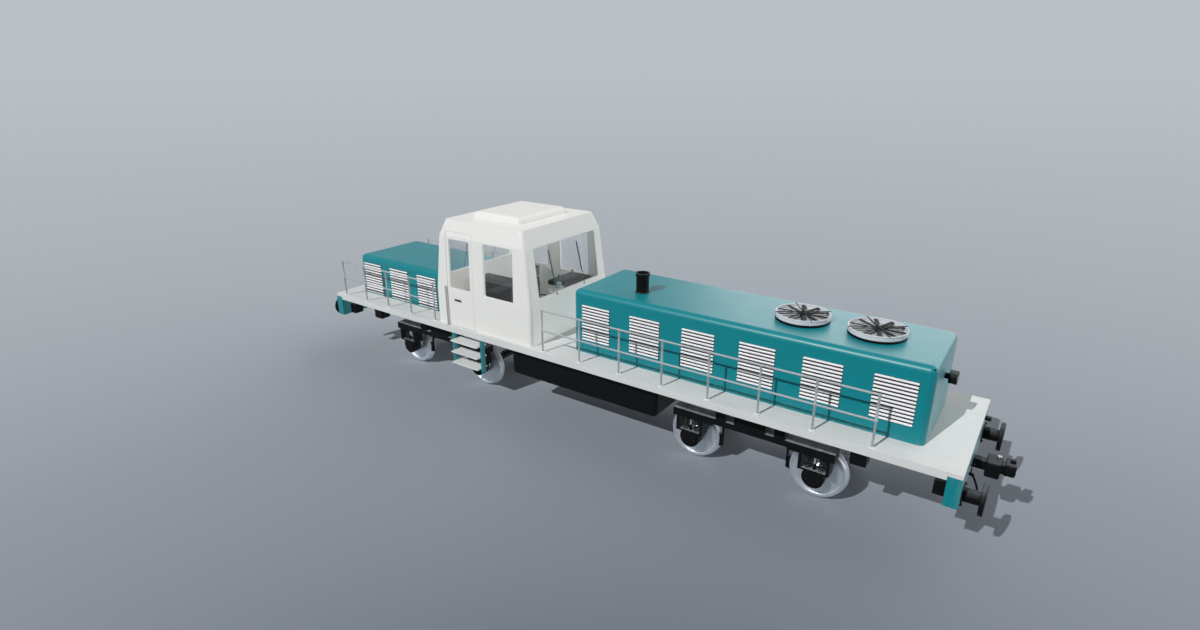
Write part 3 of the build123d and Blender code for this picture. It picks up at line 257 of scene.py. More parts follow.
chassis_paint = black_with_grey_tops("black_chassis_paint", "#090B0D", "#565C5F", 0.50, 9, 0.2)
# The bogie's grey is paler than dust alone: it paints the sky's sheen on tops that lie in the deck's shade.
bogie_paint = black_with_grey_tops("black_bogie_paint_dust_and_sheen", "#0A0C0E", "#8B9093", 0.50, 9, 0.2)

# %% [markdown]
# ## Deck coating
# Walkways are painted with a two-part coating that has sand scattered in it while wet. The grit is about
# 1.5 mm across. From a few metres away it shows only as a dull, fine speckle with shoe scuffs, so the bump
# is drawn at 6 mm, coarse enough to catch the light, and the scuffs are long soft patches.


# %% Deck coating
def deck_coating():
    material, shader = new_material("sanded_deck_coating")
    place = place_on(material)
    grit = noise(material, place, 6, 2.0, 0.6)
    scuff_place = add_node(material, "Mapping", Vector=place, Scale=(0.6, 2.4, 1.0)).outputs[0]
    scuff = add_node(material, "TexNoise", Vector=scuff_place, Scale=1.3, Detail=6.0).outputs["Fac"]
    base = mix(material, ramp(material, scuff, 0.0, 0.5, 0.45, 0.75), linear("#CED0CF"), linear("#BCBEBD"))
    base = mix(material, ramp(material, grit, 0.0, 0.25), base, linear("#D8DAD9"))
    feed(material, shader, Base_Color=base, Roughness=ramp(material, scuff, 0.72, 0.55), Specular_IOR_Level=0.2,
         Normal=relief(material, grit, 0.35, 0.0012))
    return material


deck_paint = deck_coating()

# %% [markdown]
# ## Bare and painted metal below the deck
# Wheels are forged steel, turned and here polished bright, with cloudy patches that shine less. Couplers
# are sand castings, with the grain of the mould under black paint. Springs are shot-peened bar under thin
# black lacquer.


# %% Metals
def polished_steel(name, colour, grain_mm):
    """Bright metal: cloudy patches in colour and shine, and a fine grain about grain_mm across."""
    material, shader = new_material(name)
    place = place_on(material)
    cloud = noise(material, place, 160, 4.0)
    fine = noise(material, place, grain_mm, 2.0)
    base = mix(material, ramp(material, cloud, 0.0, 0.4), linear(colour), linear("#C8D0D8"))
    feed(material, shader, Base_Color=base, Roughness=ramp(material, cloud, 0.34, 0.42), Metallic=0.92,
         Normal=relief(material, fine, 0.06, 0.0005))
    return material


def casting(name, colour, dust, roughness, grain_mm, metallic=0.0):
    """A painted sand casting: grain_mm is the size of the mould's grain."""
    material, shader = new_material(name)
    place = place_on(material)
    grain = noise(material, place, grain_mm, 3.0, 0.6)
    cloud = noise(material, place, 130, 4.0)
    base = mix(material, ramp(material, cloud, 0.0, 0.45), linear(colour), linear(dust))
    feed(material, shader, Base_Color=base, Roughness=ramp(material, cloud, roughness, roughness + 0.18),
         Metallic=metallic, Specular_IOR_Level=0.15, Normal=relief(material, grain, 0.35, 0.001))
    return material


wheel_steel = polished_steel("polished_wheel_steel", "#EAEFF5", 5)
# Its upward faces turn grey too: partly dust, partly a painted sheen.
cast_black = black_with_grey_tops("black_painted_casting", "#0A0B0D", "#4A4E50", 0.46, 7, 0.35)
spring_lacquer = casting("lacquered_spring_steel", "#1D2023", "#3B3A38", 0.35, 12, 0.2)
fan_black = casting("black_fan_enamel", "#08090A", "#121315", 0.45, 20)
worn_steel = casting("rubbed_bare_steel", "#9A9EA2", "#6D6E70", 0.30, 25, 0.9)

# %% [markdown]
# ## Glass, rubber, plastic and seat cloth
# Cab windows are laminated safety glass: clear, slightly green, index 1.5. The hose and the lever knobs
# are black rubber, dull with a bloom. The desk is moulded ABS with a fine leather grain, and the seat is a
# woven polyester over foam, drawn coarser than life.


# %% Soft and clear finishes
def window_glass():
    material, shader = new_material("laminated_cab_glass")
    feed(material, shader, Base_Color=linear("#E6EEF0"), Roughness=0.04, IOR=1.5, Transmission_Weight=1.0, Alpha=0.11)
    return material


def moulded(name, colour, roughness, grain_mm, strength):
    """Moulded plastic or rubber with a fine grain."""
    material, shader = new_material(name)
    place = place_on(material)
    grain = add_node(material, "TexVoronoi", Vector=place, Scale=1000 / grain_mm).outputs["Distance"]
    cloud = noise(material, place, 90, 3.0)
    base = mix(material, ramp(material, cloud, 0.0, 0.25), linear(colour), linear("#232527"))
    feed(material, shader, Base_Color=base, Roughness=ramp(material, cloud, roughness - 0.05, roughness + 0.08),
         Specular_IOR_Level=0.15, Normal=relief(material, grain, strength, 0.0006))
    return material


def woven_cloth():
    """Two crossed waves, one per thread direction, multiplied. Half a wave is a thread, thread_mm wide."""
    material, shader = new_material("woven_polyester_seat_cloth")
    place = place_on(material)
    thread_mm = 8
    scale = 1000 / thread_mm / 6.28
    waves = [add_node(material, "TexWave", {"bands_direction": axis}, Vector=place, Scale=scale).outputs["Fac"]
             for axis in ("X", "Z")]
    weave = maths(material, "MULTIPLY", waves[0], waves[1])
    feed(material, shader, Base_Color=mix(material, weave, linear("#0C0D0F"), linear("#1A1D1F")), Roughness=0.85,
         Sheen_Weight=0.1, Normal=relief(material, weave, 0.4, 0.001))
    return material


cab_glass = window_glass()
black_rubber = moulded("black_epdm_rubber", "#101112", 0.62, 4, 0.2)
desk_abs = moulded("grained_abs_desk", "#131416", 0.60, 3, 0.3)
seat_cloth = woven_cloth()
lamp_glass, lamp_shader = new_material("lamp_lens_glass")
feed(lamp_glass, lamp_shader, Base_Color=linear("#E8ECEC"), Roughness=0.08, Coat_Weight=1.0)
print([m.name for m in bpy.data.materials])


# %% [markdown]
# ## Four ways to make a surface
# Nearly everything on a locomotive that isn't flat plate was turned, rolled, wound or bolted. Each way is
# one formula over a grid: a lathe turns a profile about a line, a rounded box pushes a small sphere out
# to eight corners, and a tube carries a circle along a line. The grids are whole numpy arrays, and one
# function joins any number of them into a mesh and closes the seams.


# %% Grids to a mesh
def piece(name, grids, body, material, replaces=(), sharp=38):
    """Joins grids into one mesh. Grid point (i, j) makes a face with (i, j+1), (i+1, j+1) and (i+1, j).

    A grid is (points, wrap): points is rows by columns by 3, and wrap joins the last column to the first.
    Doubles are merged, so seams and poles close, and edges turned more than sharp degrees stay crisp.
    """
    corners, faces, start = [], [], 0
    for points, wrap in grids:
        rows, columns = points.shape[:2]
        i = np.arange(rows - 1)[:, None]
        j = np.arange(columns if wrap else columns - 1)[None, :]
        k = (j + 1) % columns
        quad = np.stack([i * columns + j, i * columns + k, (i + 1) * columns + k, (i + 1) * columns + j], axis=-1)
        corners.append(points.reshape(-1, 3))
        faces.append(quad.reshape(-1, 4) + start)
        start += rows * columns
    mesh = bpy.data.meshes.new(name)
    mesh.from_pydata(np.concatenate(corners), [], np.concatenate(faces).tolist())
    shell = bmesh.new()
    shell.from_mesh(mesh)
    bmesh.ops.remove_doubles(shell, verts=shell.verts, dist=2e-5)
    bmesh.ops.dissolve_degenerate(shell, edges=shell.edges, dist=1e-6)
    bmesh.ops.recalc_face_normals(shell, faces=shell.faces)
    shell.to_mesh(mesh)
    shell.free()
    mesh.polygons.foreach_set("use_smooth", np.ones(len(mesh.polygons), dtype=bool))
    mesh.set_sharp_from_angle(angle=math.radians(sharp))
    mesh.materials.append(material)
    made = add_object(name, mesh)
    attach(made, body)
    if replaces:
        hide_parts(*replaces)
    return made


def axes_of(direction):
    """Three unit vectors, the last along direction, as rows."""
    third = np.array(direction, dtype=float)
    third /= np.linalg.norm(third)
    helper = np.array([0.0, 0.0, 1.0]) if abs(third[2]) < 0.9 else np.array([1.0, 0.0, 0.0])
    first = np.cross(helper, third)
    first /= np.linalg.norm(first)
    return np.array([first, np.cross(third, first), third])


def eased(profile, cut):
    """Rounds a profile's corners: each becomes a short parabola between points cut away along its sides."""
    points = [np.array(p, dtype=float) for p in profile]
    out = [points[0]]
    for before, corner, after in zip(points, points[1:], points[2:]):
        back, on = before - corner, after - corner
        reach = [min(cut, 0.45 * np.linalg.norm(v)) / max(np.linalg.norm(v), 1e-9) for v in (back, on)]
        t = np.linspace(0, 1, 4)[:, None]
        start, end = corner + back * reach[0], corner + on * reach[1]
        out += list((1 - t) ** 2 * start + 2 * t * (1 - t) * corner + t ** 2 * end)
    return np.array(out + [points[-1]])


def lathe(profile, centre, direction, sides=64):
    """Turned surface: centre + along * w + radius * (cos a * u + sin a * v), for each (along, radius)."""
    u, v, w = axes_of(direction)
    profile = np.asarray(profile, dtype=float)
    a = np.linspace(0, 2 * np.pi, sides, endpoint=False)
    ring = np.cos(a)[:, None] * u + np.sin(a)[:, None] * v
    points = np.array(centre) + profile[:, 0, None, None] * w + profile[:, 1, None, None] * ring
    return points, True


def rounded_box(centre, size, radius, direction=(0, 0, 1), steps=4):
    """Box with round edges: corner of the core + radius * n, for directions n in each eighth of a sphere.

    The core is the size less radius on each side. The box's own Z lies along direction.
    """
    size = np.array(size) / 2
    radius = min(radius, *size)
    core = size - radius
    quarter = np.linspace(0, np.pi / 2, steps)
    longitude = np.concatenate([quarter + q * np.pi / 2 for q in range(4)])
    sign_x = np.repeat([1, -1, -1, 1], steps)
    sign_y = np.repeat([1, 1, -1, -1], steps)
    latitude = np.concatenate([quarter - np.pi / 2, quarter])
    sign_z = np.repeat([-1, 1], steps)
    flat = np.cos(latitude)[:, None]
    x = core[0] * sign_x + radius * flat * np.cos(longitude)
    y = core[1] * sign_y + radius * flat * np.sin(longitude)
    z = (core[2] * sign_z + radius * np.sin(latitude))[:, None] + 0 * x
    grid = np.stack([x, y, z], axis=-1)
    poles = [np.tile([0, 0, end * size[2]], (1, grid.shape[1], 1)) for end in (-1, 1)]
    grid = np.concatenate([poles[0], grid, poles[1]])
    own_axes = np.eye(3) if tuple(direction) == (0, 0, 1) else axes_of(direction)
    return np.array(centre) + grid @ own_axes, True


def tube(path, radius, sides=10):
    """A circle carried along a path: path + radius * (cos a * n + sin a * b), n and b across its direction."""
    path = np.asarray(path, dtype=float)
    along = np.gradient(path, axis=0)
    along /= np.linalg.norm(along, axis=1)[:, None]
    helper = np.array([0.0, 0.0, 1.0]) if np.abs(along[:, 2]).max() < 0.95 else np.array([1.0, 0.0, 0.0])
    n = np.cross(along, helper)
    n /= np.linalg.norm(n, axis=1)[:, None]
    b = np.cross(along, n)
    a = np.linspace(0, 2 * np.pi, sides, endpoint=False)
    rings = path[:, None] + radius * (np.cos(a)[None, :, None] * n[:, None] + np.sin(a)[None, :, None] * b[:, None])
    ends = [np.tile(path[k], (1, sides, 1)) for k in (0, -1)]
    return np.concatenate([ends[0], rings, ends[1]]), True


def hex_heads(places, direction, across, height):
    """Bolt heads: six-sided lathes whose corner radius is half of across over cos 30, with a turned crown."""
    corner = across / 2 / math.cos(math.pi / 6)
    profile = [(0, 0), (0, corner), (height * 0.8, corner), (height, corner * 0.82), (height, 0)]
    return [lathe(profile, place, direction, 6) for place in places]


print("surfaces: lathe, rounded box, tube, bolt heads")

# %% [markdown]
# ## Wheels
# A wheel is forged, then turned: flange, throat, coned tread, a rim that stands proud, a web that bows
# between rim and hub so that brake heat can't crack it. All of that is one profile about the axle, and a
# lathe is how the real one is finished. The bow of the web is a cosine from the hub out to the rim, 16 mm.

# %% Wheels
flange_radius = 0.553


def wheel_profile():
    """(distance from the centre line, radius) round the section: web = face - depth * (1 - cos) / 2."""
    hub_edge, rim_edge, depth = 0.170, 0.445, 0.016
    web_radius = np.linspace(hub_edge, rim_edge, 12)
    bow = depth * (1 - np.cos(np.pi * (web_radius - hub_edge) / (rim_edge - hub_edge))) / 2
    inner_web = np.column_stack([0.769 - bow, web_radius])
    outer_web = np.column_stack([0.835 - bow, web_radius])[::-1]
    rim = [(0.722, 0.456), (0.7203, 0.462), (0.7203, flange_radius - 0.012), (0.726, flange_radius - 0.001),
           (0.738, flange_radius - 0.001), (0.746, 0.545), (0.753, 0.530), (0.762, 0.5252), (0.780, 0.5245),
           (0.846, 0.5215), (0.8497, 0.517), (0.8497, 0.462), (0.846, 0.456)]
    hub_in = [(0.695, 0.0985), (0.695, 0.143), (0.700, 0.149), (0.755, 0.150)]
    hub_out = [(0.836, 0.150), (0.870, 0.149), (0.875, 0.143), (0.875, 0.0985)]
    return np.array(hub_in + list(inner_web) + rim + list(outer_web) + hub_out)


for number in range(1, 5):
    low, high = box_of(f"wheels_{number}")
    axle = ((low[0] + high[0]) / 2, 0, high[2] - flange_radius)
    grids = [lathe(wheel_profile(), axle, (0, side, 0), 96) for side in (-1, 1)]
    piece(f"turned_wheels_{number}", grids, f"wheelset_{number}", wheel_steel,
          [f"wheels_{number}"])
print("wheel profile of", len(wheel_profile()), "points")

# %% [markdown]
# ## Coil springs and dampers
# A spring is bar wound hot on a mandrel, with its last three quarters of a turn closed down flat and
# ground, so that it stands square. The line of the bar is a helix whose climb fades out at both ends. A
# circle carried along that line gives the bar. Between each pair stands a damper: a black body with a
# paler rod above it.

# %% Springs
spring_low, spring_high, washer = 0.708, 0.993, 0.010
bar, coil_radius, turns = 0.0125, 0.0535, 6.5
spring_line, spring_offset, damper_line = 1.025, 0.125, 1.065
bogie_centre, half_base = 4.2, 1.25
bogies = [(name, (sign * bogie_centre - half_base, sign * bogie_centre + half_base))
          for name, sign in (("front", 1), ("rear", -1))]


def coil_line(x, y):
    """Helix: the radius stays, the angle runs evenly, and the height climbs only between the flat ends."""
    t = np.linspace(0, 1, 210)
    angle = 2 * np.pi * turns * t
    flat = 0.75 / turns
    climb = np.clip((t - flat) / (1 - 2 * flat), 0, 1)
    climb = climb * 0.88 + 0.12 * climb ** 2 * (3 - 2 * climb)
    z = spring_low + washer + bar + (spring_high - spring_low - washer - 2 * bar) * climb
    return np.column_stack([x + coil_radius * np.cos(angle), y + coil_radius * np.sin(angle), z])


seat_washer = [(0, 0), (0, 0.072), (washer, 0.072), (washer, 0)]
damper_body = eased([(0.006, 0), (0.006, 0.029), (0.118, 0.029), (0.126, 0.024), (0.126, 0)], 0.003)
damper_rod = [(0.12, 0.0), (0.12, 0.013), (0.262, 0.013), (0.262, 0.024), (0.285, 0.024), (0.285, 0)]
for name, axles in bogies:
    coils, seats, bodies, rods = [], [], [], []
    for axle_x in axles:
        for side in (-1, 1):
            for x in (axle_x - spring_offset, axle_x + spring_offset):
                coils.append(tube(coil_line(x, side * spring_line), bar, 8))
                seats.append(lathe(seat_washer, (x, side * spring_line, spring_low), (0, 0, 1), 32))
            bodies.append(lathe(damper_body, (axle_x, side * damper_line, spring_low), (0, 0, 1), 24))
            rods.append(lathe(damper_rod, (axle_x, side * damper_line, spring_low), (0, 0, 1), 20))
    for kind, grids, material in (("coils", coils, spring_lacquer), ("damper_bodies", bodies, cast_black),
                                  ("damper_rods", rods, rail_paint), ("spring_seats", seats, bogie_paint)):
        piece(f"{kind}_{name}", grids, f"bogie_{name}", material, [f"springs_{name}"])
print(turns, "turns of", round(2000 * bar), "mm bar in each of 16 springs")

# %% [markdown]
# ## Bolts of the bearing covers
# Eight hexagon bolts hold each bearing cover, and the two highest are left out. A bolt head is a lathe with
# six sides and a turned crown.

# %% Cover bolts
axle_height, bolt_circle, cover_face, highest_bolt = 0.553, 0.122, 1.130, 0.66
for name, axles in bogies:
    heads = []
    for axle_x in axles:
        for side in (-1, 1):
            for a in np.arange(8) * np.pi / 4 + np.pi / 8:
                place = (axle_x + bolt_circle * math.cos(a), side * cover_face, axle_height + bolt_circle * math.sin(a))
                if place[2] < highest_bolt:
                    heads += hex_heads([place], (0, side, 0), 0.026, 0.014)
    piece(f"cover_bolts_{name}", heads, f"bogie_{name}", cast_black)
print(len(heads), "bolt heads on each bogie")

# %% [markdown]
# ## Louvre slats
# Slats are half-round bar, so that rain runs off their backs and light rolls over each one. Behind them
# the hood is open, and a black sheet stands there to paint the shade inside the hood. A slat's section is
# half an ellipse: outward reach times cos t, half its height times sin t.

# %% Slats and shade sheets
hood_side, slat_count, slat_half = 0.990, 12, 0.3425
for name, first, pitch, panels in (("long", 0.575, 1.197, 6), ("short", -6.795, 1.057, 3)):
    low, high = box_of(f"louvres_{name}")
    step = (high[2] - low[2]) / slat_count
    t = np.linspace(-0.5, 0.5, 11) * np.pi
    slats, shade_sheets, rails = [], [], []
    for side in (-1, 1):
        for middle in first + pitch * np.arange(panels):
            for z in low[2] + step * (np.arange(slat_count) + 0.5):
                ring = np.column_stack([0 * t, side * (hood_side + 0.011 + 0.0285 * np.cos(t)), z + 0.020 * np.sin(t)])
                hub = np.tile([0, side * (hood_side + 0.018), z], (len(t), 1))
                stations = [(hub, -slat_half), (ring, -slat_half), (ring, slat_half), (hub, slat_half)]
                slats.append((np.array([line + [middle + x, 0, 0] for line, x in stations]), True))
            # A black sheet behind each panel: painted shade for the dark inside of the hood in the gaps.
            shade_sheets.append(rounded_box((middle, side * (hood_side - 0.020), (low[2] + high[2]) / 2),
                                    (0.655, 0.012, high[2] - low[2] - 0.030), 0.003))
            rails += [rounded_box((middle + x, side * (hood_side + 0.006), (low[2] + high[2]) / 2),
                                  (0.020, 0.011, high[2] - low[2]), 0.002) for x in (-0.3315, 0.3315)]
    piece(f"slats_{name}", slats, "locomotive", louvre_enamel, [f"louvres_{name}"])
    piece(f"slat_rails_{name}", rails, "locomotive", cast_black, [f"louvres_{name}"])
    piece(f"gap_shade_sheets_{name}", shade_sheets, "locomotive", black_rubber)
    print(name, "hood:", len(slats), "slats,", len(shade_sheets), "shade_sheets")

# %% [markdown]
# ## Buffers
# A side buffer is a sprung plunger in a cast barrel. Its head is a thick disc with a rounded rim and a
# slightly domed face, so that two heads roll over each other in a curve instead of digging in with their
# rims. The barrel is one profile about the buffer's line, and the plunger with its head is another. The
# flange is a plate with four bolts in its corners.

# %% Buffers
beam_front, buffer_line, draw_height = 7.8, 1.18, 1.198
flange_thick, corner_bolt = 0.018, 0.122
barrel = eased([(0.016, 0), (0.016, 0.121), (0.030, 0.119), (0.176, 0.1145), (0.248, 0.1145), (0.248, 0.1045),
                (0.247, 0)], 0.004)
dome = np.linspace(1, 0, 10)
head_face = np.column_stack([0.340 - 0.006 * dome ** 2, 0.238 * dome])
plunger = np.concatenate([eased([(0.24, 0), (0.24, 0.1035), (0.258, 0.1035), (0.260, 0.250), (0.264, 0.2635),
                                 (0.330, 0.2635), (0.334, 0.240)], 0.009), head_face])
flanges, barrels, heads, bolts = [], [], [], []
for end in (-1, 1):
    for side in (-1, 1):
        place = np.array([end * beam_front, side * buffer_line, draw_height])
        middle = place + [end * flange_thick / 2, 0, 0]
        flanges.append(rounded_box(middle, (0.30, 0.30, flange_thick), 0.004, (end, 0, 0)))
        barrels.append(lathe(barrel, place, (end, 0, 0), 72))
        heads.append(lathe(plunger, place, (end, 0, 0), 96))
        corners = [place + [end * flange_thick, y, z] for y in (-corner_bolt, corner_bolt)
                   for z in (-corner_bolt, corner_bolt)]
        bolts += hex_heads(corners, (end, 0, 0), 0.036, 0.018)
piece("buffer_barrels", flanges + barrels, "locomotive", cast_black, ["buffers"])
piece("buffer_plungers", heads, "locomotive", chassis_paint, ["buffers"])
piece("buffer_bolts", bolts, "locomotive", cast_black)
print("buffer heads", plunger[:, 0].max(), "m in front of the beam")

# %% [markdown]
# ## Couplers
# A coupler is one steel casting: a square shank, a box round the lock, a waist, and a hooked head whose
# knuckle closes round the next one. The mould's edges are all rounded, so each block here is a rounded
# box. The pin that locks the knuckle stands 48 mm out of the box, where a hand has rubbed it bright.

# %% Coupler castings
blocks = [  # from X, to X, from Y, to Y, from Z, to Z (Z above the draw height), radius
    (7.290, 8.020, -0.085, 0.085, -0.085, 0.085, 0.015),
    (7.995, 8.225, -0.180, 0.180, -0.153, 0.137, 0.032),
    (8.200, 8.300, -0.095, 0.095, -0.070, 0.110, 0.020),
    (8.270, 8.335, -0.150, 0.150, -0.060, 0.160, 0.025),
    (8.290, 8.440, -0.150, -0.030, -0.060, 0.160, 0.040),
    (8.290, 8.415, 0.075, 0.150, -0.060, 0.160, 0.028),
]
coupler_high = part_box("coupler_front")[1][0]
pin = eased([(0.130, 0), (0.130, 0.042), (0.178, 0.042), (0.185, 0.034), (0.185, 0)], 0.004)
pin_back, pin_aside = 0.275, 0.055
for name, end in (("front", 1), ("rear", -1)):
    grids = []
    for x0, x1, y0, y1, z0, z1, radius in blocks:
        centre = (end * (x0 + x1) / 2, end * (y0 + y1) / 2, draw_height + (z0 + z1) / 2)
        grids.append(rounded_box(centre, (x1 - x0, y1 - y0, z1 - z0), radius))
    piece(f"coupler_casting_{name}", grids, f"coupler_{name}", cast_black, [f"coupler_{name}"])
    pin_place = (end * (coupler_high - pin_back), end * pin_aside, draw_height)
    piece(f"lock_pin_{name}", [lathe(pin, pin_place, (0, 0, 1), 28)], f"coupler_{name}", worn_steel)
print("coupler reaches", round(float(coupler_high), 3), "m")

# %% [markdown]
# ## Headlamps
# A lamp is a spun steel bowl behind a domed glass. The glass bulges by a few millimetres: its depth falls
# with the radius squared.

# %% Headlamp glass
lamp_low, lamp_high = box_of("headlamps")
lens_radius = 0.104
radius = np.linspace(lens_radius, 0, 12)
lens = np.column_stack([-0.004 - 0.006 * (radius / lens_radius) ** 2, radius])
lenses = [lathe(lens, (x, 0, z), (way, 0, 0), 48) for x, z, way in
          ((lamp_high[0], 2.623, 1), (lamp_low[0], 2.503, -1))]
piece("lamp_lenses", lenses, "locomotive", lamp_glass)
print("lamps at", [round(v, 3) for v in (lamp_low[0], lamp_high[0])])

# %% [markdown]
# ## Cooling fans
# Each fan sits in a spun ring whose lip is rolled outwards, so that air turns in without tearing off the
# edge. A floor plate with a boss carries the bearing. The ten blades are pressed sheet: steeper at the root,
# where they move slowly, and flatter at the tip. So the pitch falls with the radius, and each blade is a
# grid of radius by chord, with a camber that is one minus the square of the place across the chord.

# %% Fan rings
cowl_low, cowl_high = box_of("fan_cowls")
ring_top, ring_floor = cowl_high[2], cowl_low[2]
lip = np.linspace(-0.15, 1.15, 9) * np.pi
lip_line = np.column_stack([ring_top - ring_floor - 0.013 + 0.013 * np.sin(lip), 0.495 + 0.013 * np.cos(lip)])
ring_profile = np.concatenate([[(0, 0), (0, 0.494), (0.006, 0.500), (0.070, 0.500)], lip_line,
                               eased([(0.06, 0.484), (0.014, 0.482), (0.007, 0.476), (0.007, 0.470)], 0.004)])
fan_line = []
rings, bosses, floors = [], [], []
for number in (1, 2):
    low, high = box_of(f"fan_rotor_{number}")
    middle = ((low[0] + high[0]) / 2, 0, ring_floor)
    fan_line.append(middle)
    rings.append(lathe(ring_profile, middle, (0, 0, 1), 96))
    floors.append(lathe([(0.002, 0.474), (0.0075, 0.474), (0.0075, 0)], middle, (0, 0, 1), 64))
    bosses.append(lathe(eased([(0.006, 0.085), (0.012, 0.060), (0.034, 0.050), (0.034, 0)], 0.005), middle,
                        (0, 0, 1), 40))
piece("fan_rings", rings, "locomotive", fan_enamel, ["fan_cowls"])
piece("fan_floors", floors + bosses, "locomotive", rail_paint, ["fan_cowls"])
print("fans at", [round(float(m[0]), 3) for m in fan_line])

# %% Fan rotors
blade_count, blade_height = 10, 0.068
root, tip = 0.070, 0.468
root_pitch, tip_pitch = 10, 4


def blade(middle, turn):
    """radius r by chord c: middle + r * out + c * (cos p * across + sin p * up) + camber * (1 - c^2) * up."""
    r = np.linspace(root, tip, 12)[:, None]
    share = (r - root) / (tip - root)
    half_chord = 0.028 + 0.008 * np.sqrt(share)
    pitch = np.radians(root_pitch + (tip_pitch - root_pitch) * share)
    c = np.linspace(-1, 1, 9)[None, :]
    out = np.array([math.cos(turn), math.sin(turn), 0.0])
    across = np.array([-math.sin(turn), math.cos(turn), 0.0])
    up = np.array([0, 0, 1.0])
    flat = (half_chord * c * np.cos(pitch))[..., None] * across + (half_chord * c * np.sin(pitch))[..., None] * up
    camber = (0.008 * (1 - c ** 2) * np.ones_like(r))[..., None] * up
    return np.array(middle) + [0, 0, blade_height] + r[..., None] * out + flat + camber, False


hub = eased([(0.036, 0), (0.036, 0.072), (0.044, 0.080), (0.070, 0.080), (0.080, 0.066), (0.084, 0.030),
             (0.084, 0)], 0.006)
for number, middle in enumerate(fan_line, 1):
    grids = [blade(middle, 2 * np.pi * k / blade_count) for k in range(blade_count)]
    blades = piece(f"fan_blades_{number}", grids, f"fan_{number}", fan_black, [f"fan_rotor_{number}"])
    gauge = blades.modifiers.new("sheet", "SOLIDIFY")
    gauge.thickness, gauge.offset = 0.004, 0.0
    shaft = [(0.003, 0), (0.003, 0.0245), (0.040, 0.0245), (0.040, 0)]
    piece(f"fan_hub_{number}", [lathe(hub, middle, (0, 0, 1), 48), lathe(shaft, middle, (0, 0, 1), 24)],
          f"fan_{number}", fan_black, [f"fan_rotor_{number}"])
print(blade_count, "blades, pitch", root_pitch, "to", tip_pitch, "degrees")

# %% [markdown]
# ## Exhaust stack
# The stack is rolled plate with a heavier band welded round its mouth. Rain would rust a sharp edge, so
# the band's edges are ground round, and inside the pipe goes down into soot.

# %% Exhaust stack
stack_low, stack_high = box_of("exhaust_stack")
stack_middle = (stack_low + stack_high) / 2
tall = stack_high[2] - stack_low[2]
stack_profile = eased([(0, 0), (0, 0.150), (0.012, 0.150), (0.016, 0.136), (0.05, 0.135), (tall - 0.075, 0.135),
                       (tall - 0.068, 0.1515), (tall, 0.1515), (tall, 0.1225), (0.10, 0.121), (0.10, 0)], 0.006)
piece("exhaust_pipe", [lathe(stack_profile, (stack_middle[0], stack_middle[1], stack_low[2]), (0, 0, 1), 72)],
      "locomotive", chassis_paint, ["exhaust_stack"])
print("stack", round(tall, 3), "m tall")

# %% [markdown]
# ## Driver's seat
# Foam under woven cloth is never flat: the cover pulls in at the seams and the foam crowns between them.
# Each pad starts as a rounded box. A cloth simulation blows it up from inside, and no point may move more
# than 12 mm, which gives a crown that no formula for a box has. The pads are lifted on a shell, a post and
# a foot.

# %% Seat pads
seat_place, seat_turn = np.array([-1.560, -0.180, deck_level]), 20.0
most_swell = 0.012


def seat_frame(points):
    """From the seat's own axes (forward, left, up) to the locomotive's: a turn about Z, then a shift."""
    a = math.radians(seat_turn)
    spin = np.array([[math.cos(a), math.sin(a), 0], [-math.sin(a), math.cos(a), 0], [0, 0, 1]])
    return seat_place + np.asarray(points) @ spin


def pad(name, centre, size, radius):
    """A cushion: rounded box, remeshed, blown up by pressure, each point moved by most_swell at most."""
    grid, wrap = rounded_box(centre, size, radius, steps=6)
    made = piece(name, [(seat_frame(grid), wrap)], "locomotive", seat_cloth, ["driver_seat"],
                 sharp=180)
    bpy.context.view_layer.objects.active = made
    for other in bpy.context.selected_objects:
        other.select_set(False)
    made.select_set(True)
    made.data.remesh_voxel_size = 0.009
    bpy.ops.object.voxel_remesh()
    rest = np.empty(len(made.data.vertices) * 3)
    made.data.vertices.foreach_get("co", rest)
    cloth = made.modifiers.new("blow", "CLOTH")
    cloth.settings.use_pressure = True
    cloth.settings.uniform_pressure_force = 4.0
    cloth.settings.effector_weights.gravity = 0
    for step in range(1, 21):
        bpy.context.scene.frame_set(step)
    bpy.ops.object.modifier_apply(modifier="blow")
    blown = np.empty_like(rest)
    made.data.vertices.foreach_get("co", blown)
    move = (blown - rest).reshape(-1, 3)
    length = np.linalg.norm(move, axis=1, keepdims=True)
    move *= np.minimum(1, most_swell / np.maximum(length, 1e-9))
    made.data.vertices.foreach_set("co", (rest.reshape(-1, 3) + move).ravel())
    bpy.context.scene.frame_set(1)
    made.data.polygons.foreach_set("use_smooth", np.ones(len(made.data.polygons), dtype=bool))
    made.data.update()
    return made


pads = [pad("seat_cushion", (0.035, 0, 0.500), (0.36, 0.42, 0.095), 0.040),
        pad("seat_back_pad", (-0.165, 0, 0.880), (0.085, 0.42, 0.56), 0.036),
        pad("seat_head_pad", (-0.165, 0, 1.300), (0.075, 0.42, 0.27), 0.030)]
print([(p.name, len(p.data.vertices)) for p in pads])

# %% Seat shell, post and foot
shell_grids = [rounded_box((0.02, 0, 0.442), (0.42, 0.44, 0.024), 0.010),
               rounded_box((-0.212, 0, 0.945), (0.024, 0.43, 0.97), 0.010)]
shell_grids += [rounded_box((-0.1, y, 0.68), (0.25, 0.012, 0.030), 0.005) for y in (0.215, -0.215)]
post = eased([(0, 0), (0, 0.168), (0.014, 0.168), (0.022, 0.060), (0.060, 0.050), (0.30, 0.048), (0.31, 0.062),
              (0.430, 0.062), (0.430, 0)], 0.006)
shell_grids = [(seat_frame(grid), wrap) for grid, wrap in shell_grids]
post_grid = [lathe(post, seat_place, (0, 0, 1), 40)]
piece("seat_shell", shell_grids + post_grid, "locomotive", desk_abs, ["driver_seat"])

# %% [markdown]
# ## Desk and cabinets
# The desk is a thick slab on a pedestal against the front wall, and a bank of cabinets of the same height
# stands behind the seat. Moulded plastic shrinks as it cools, so its edges are always drawn with a
# radius. Two levers stand on the desk, each a bent rod with a turned knob, beside a row of dials.

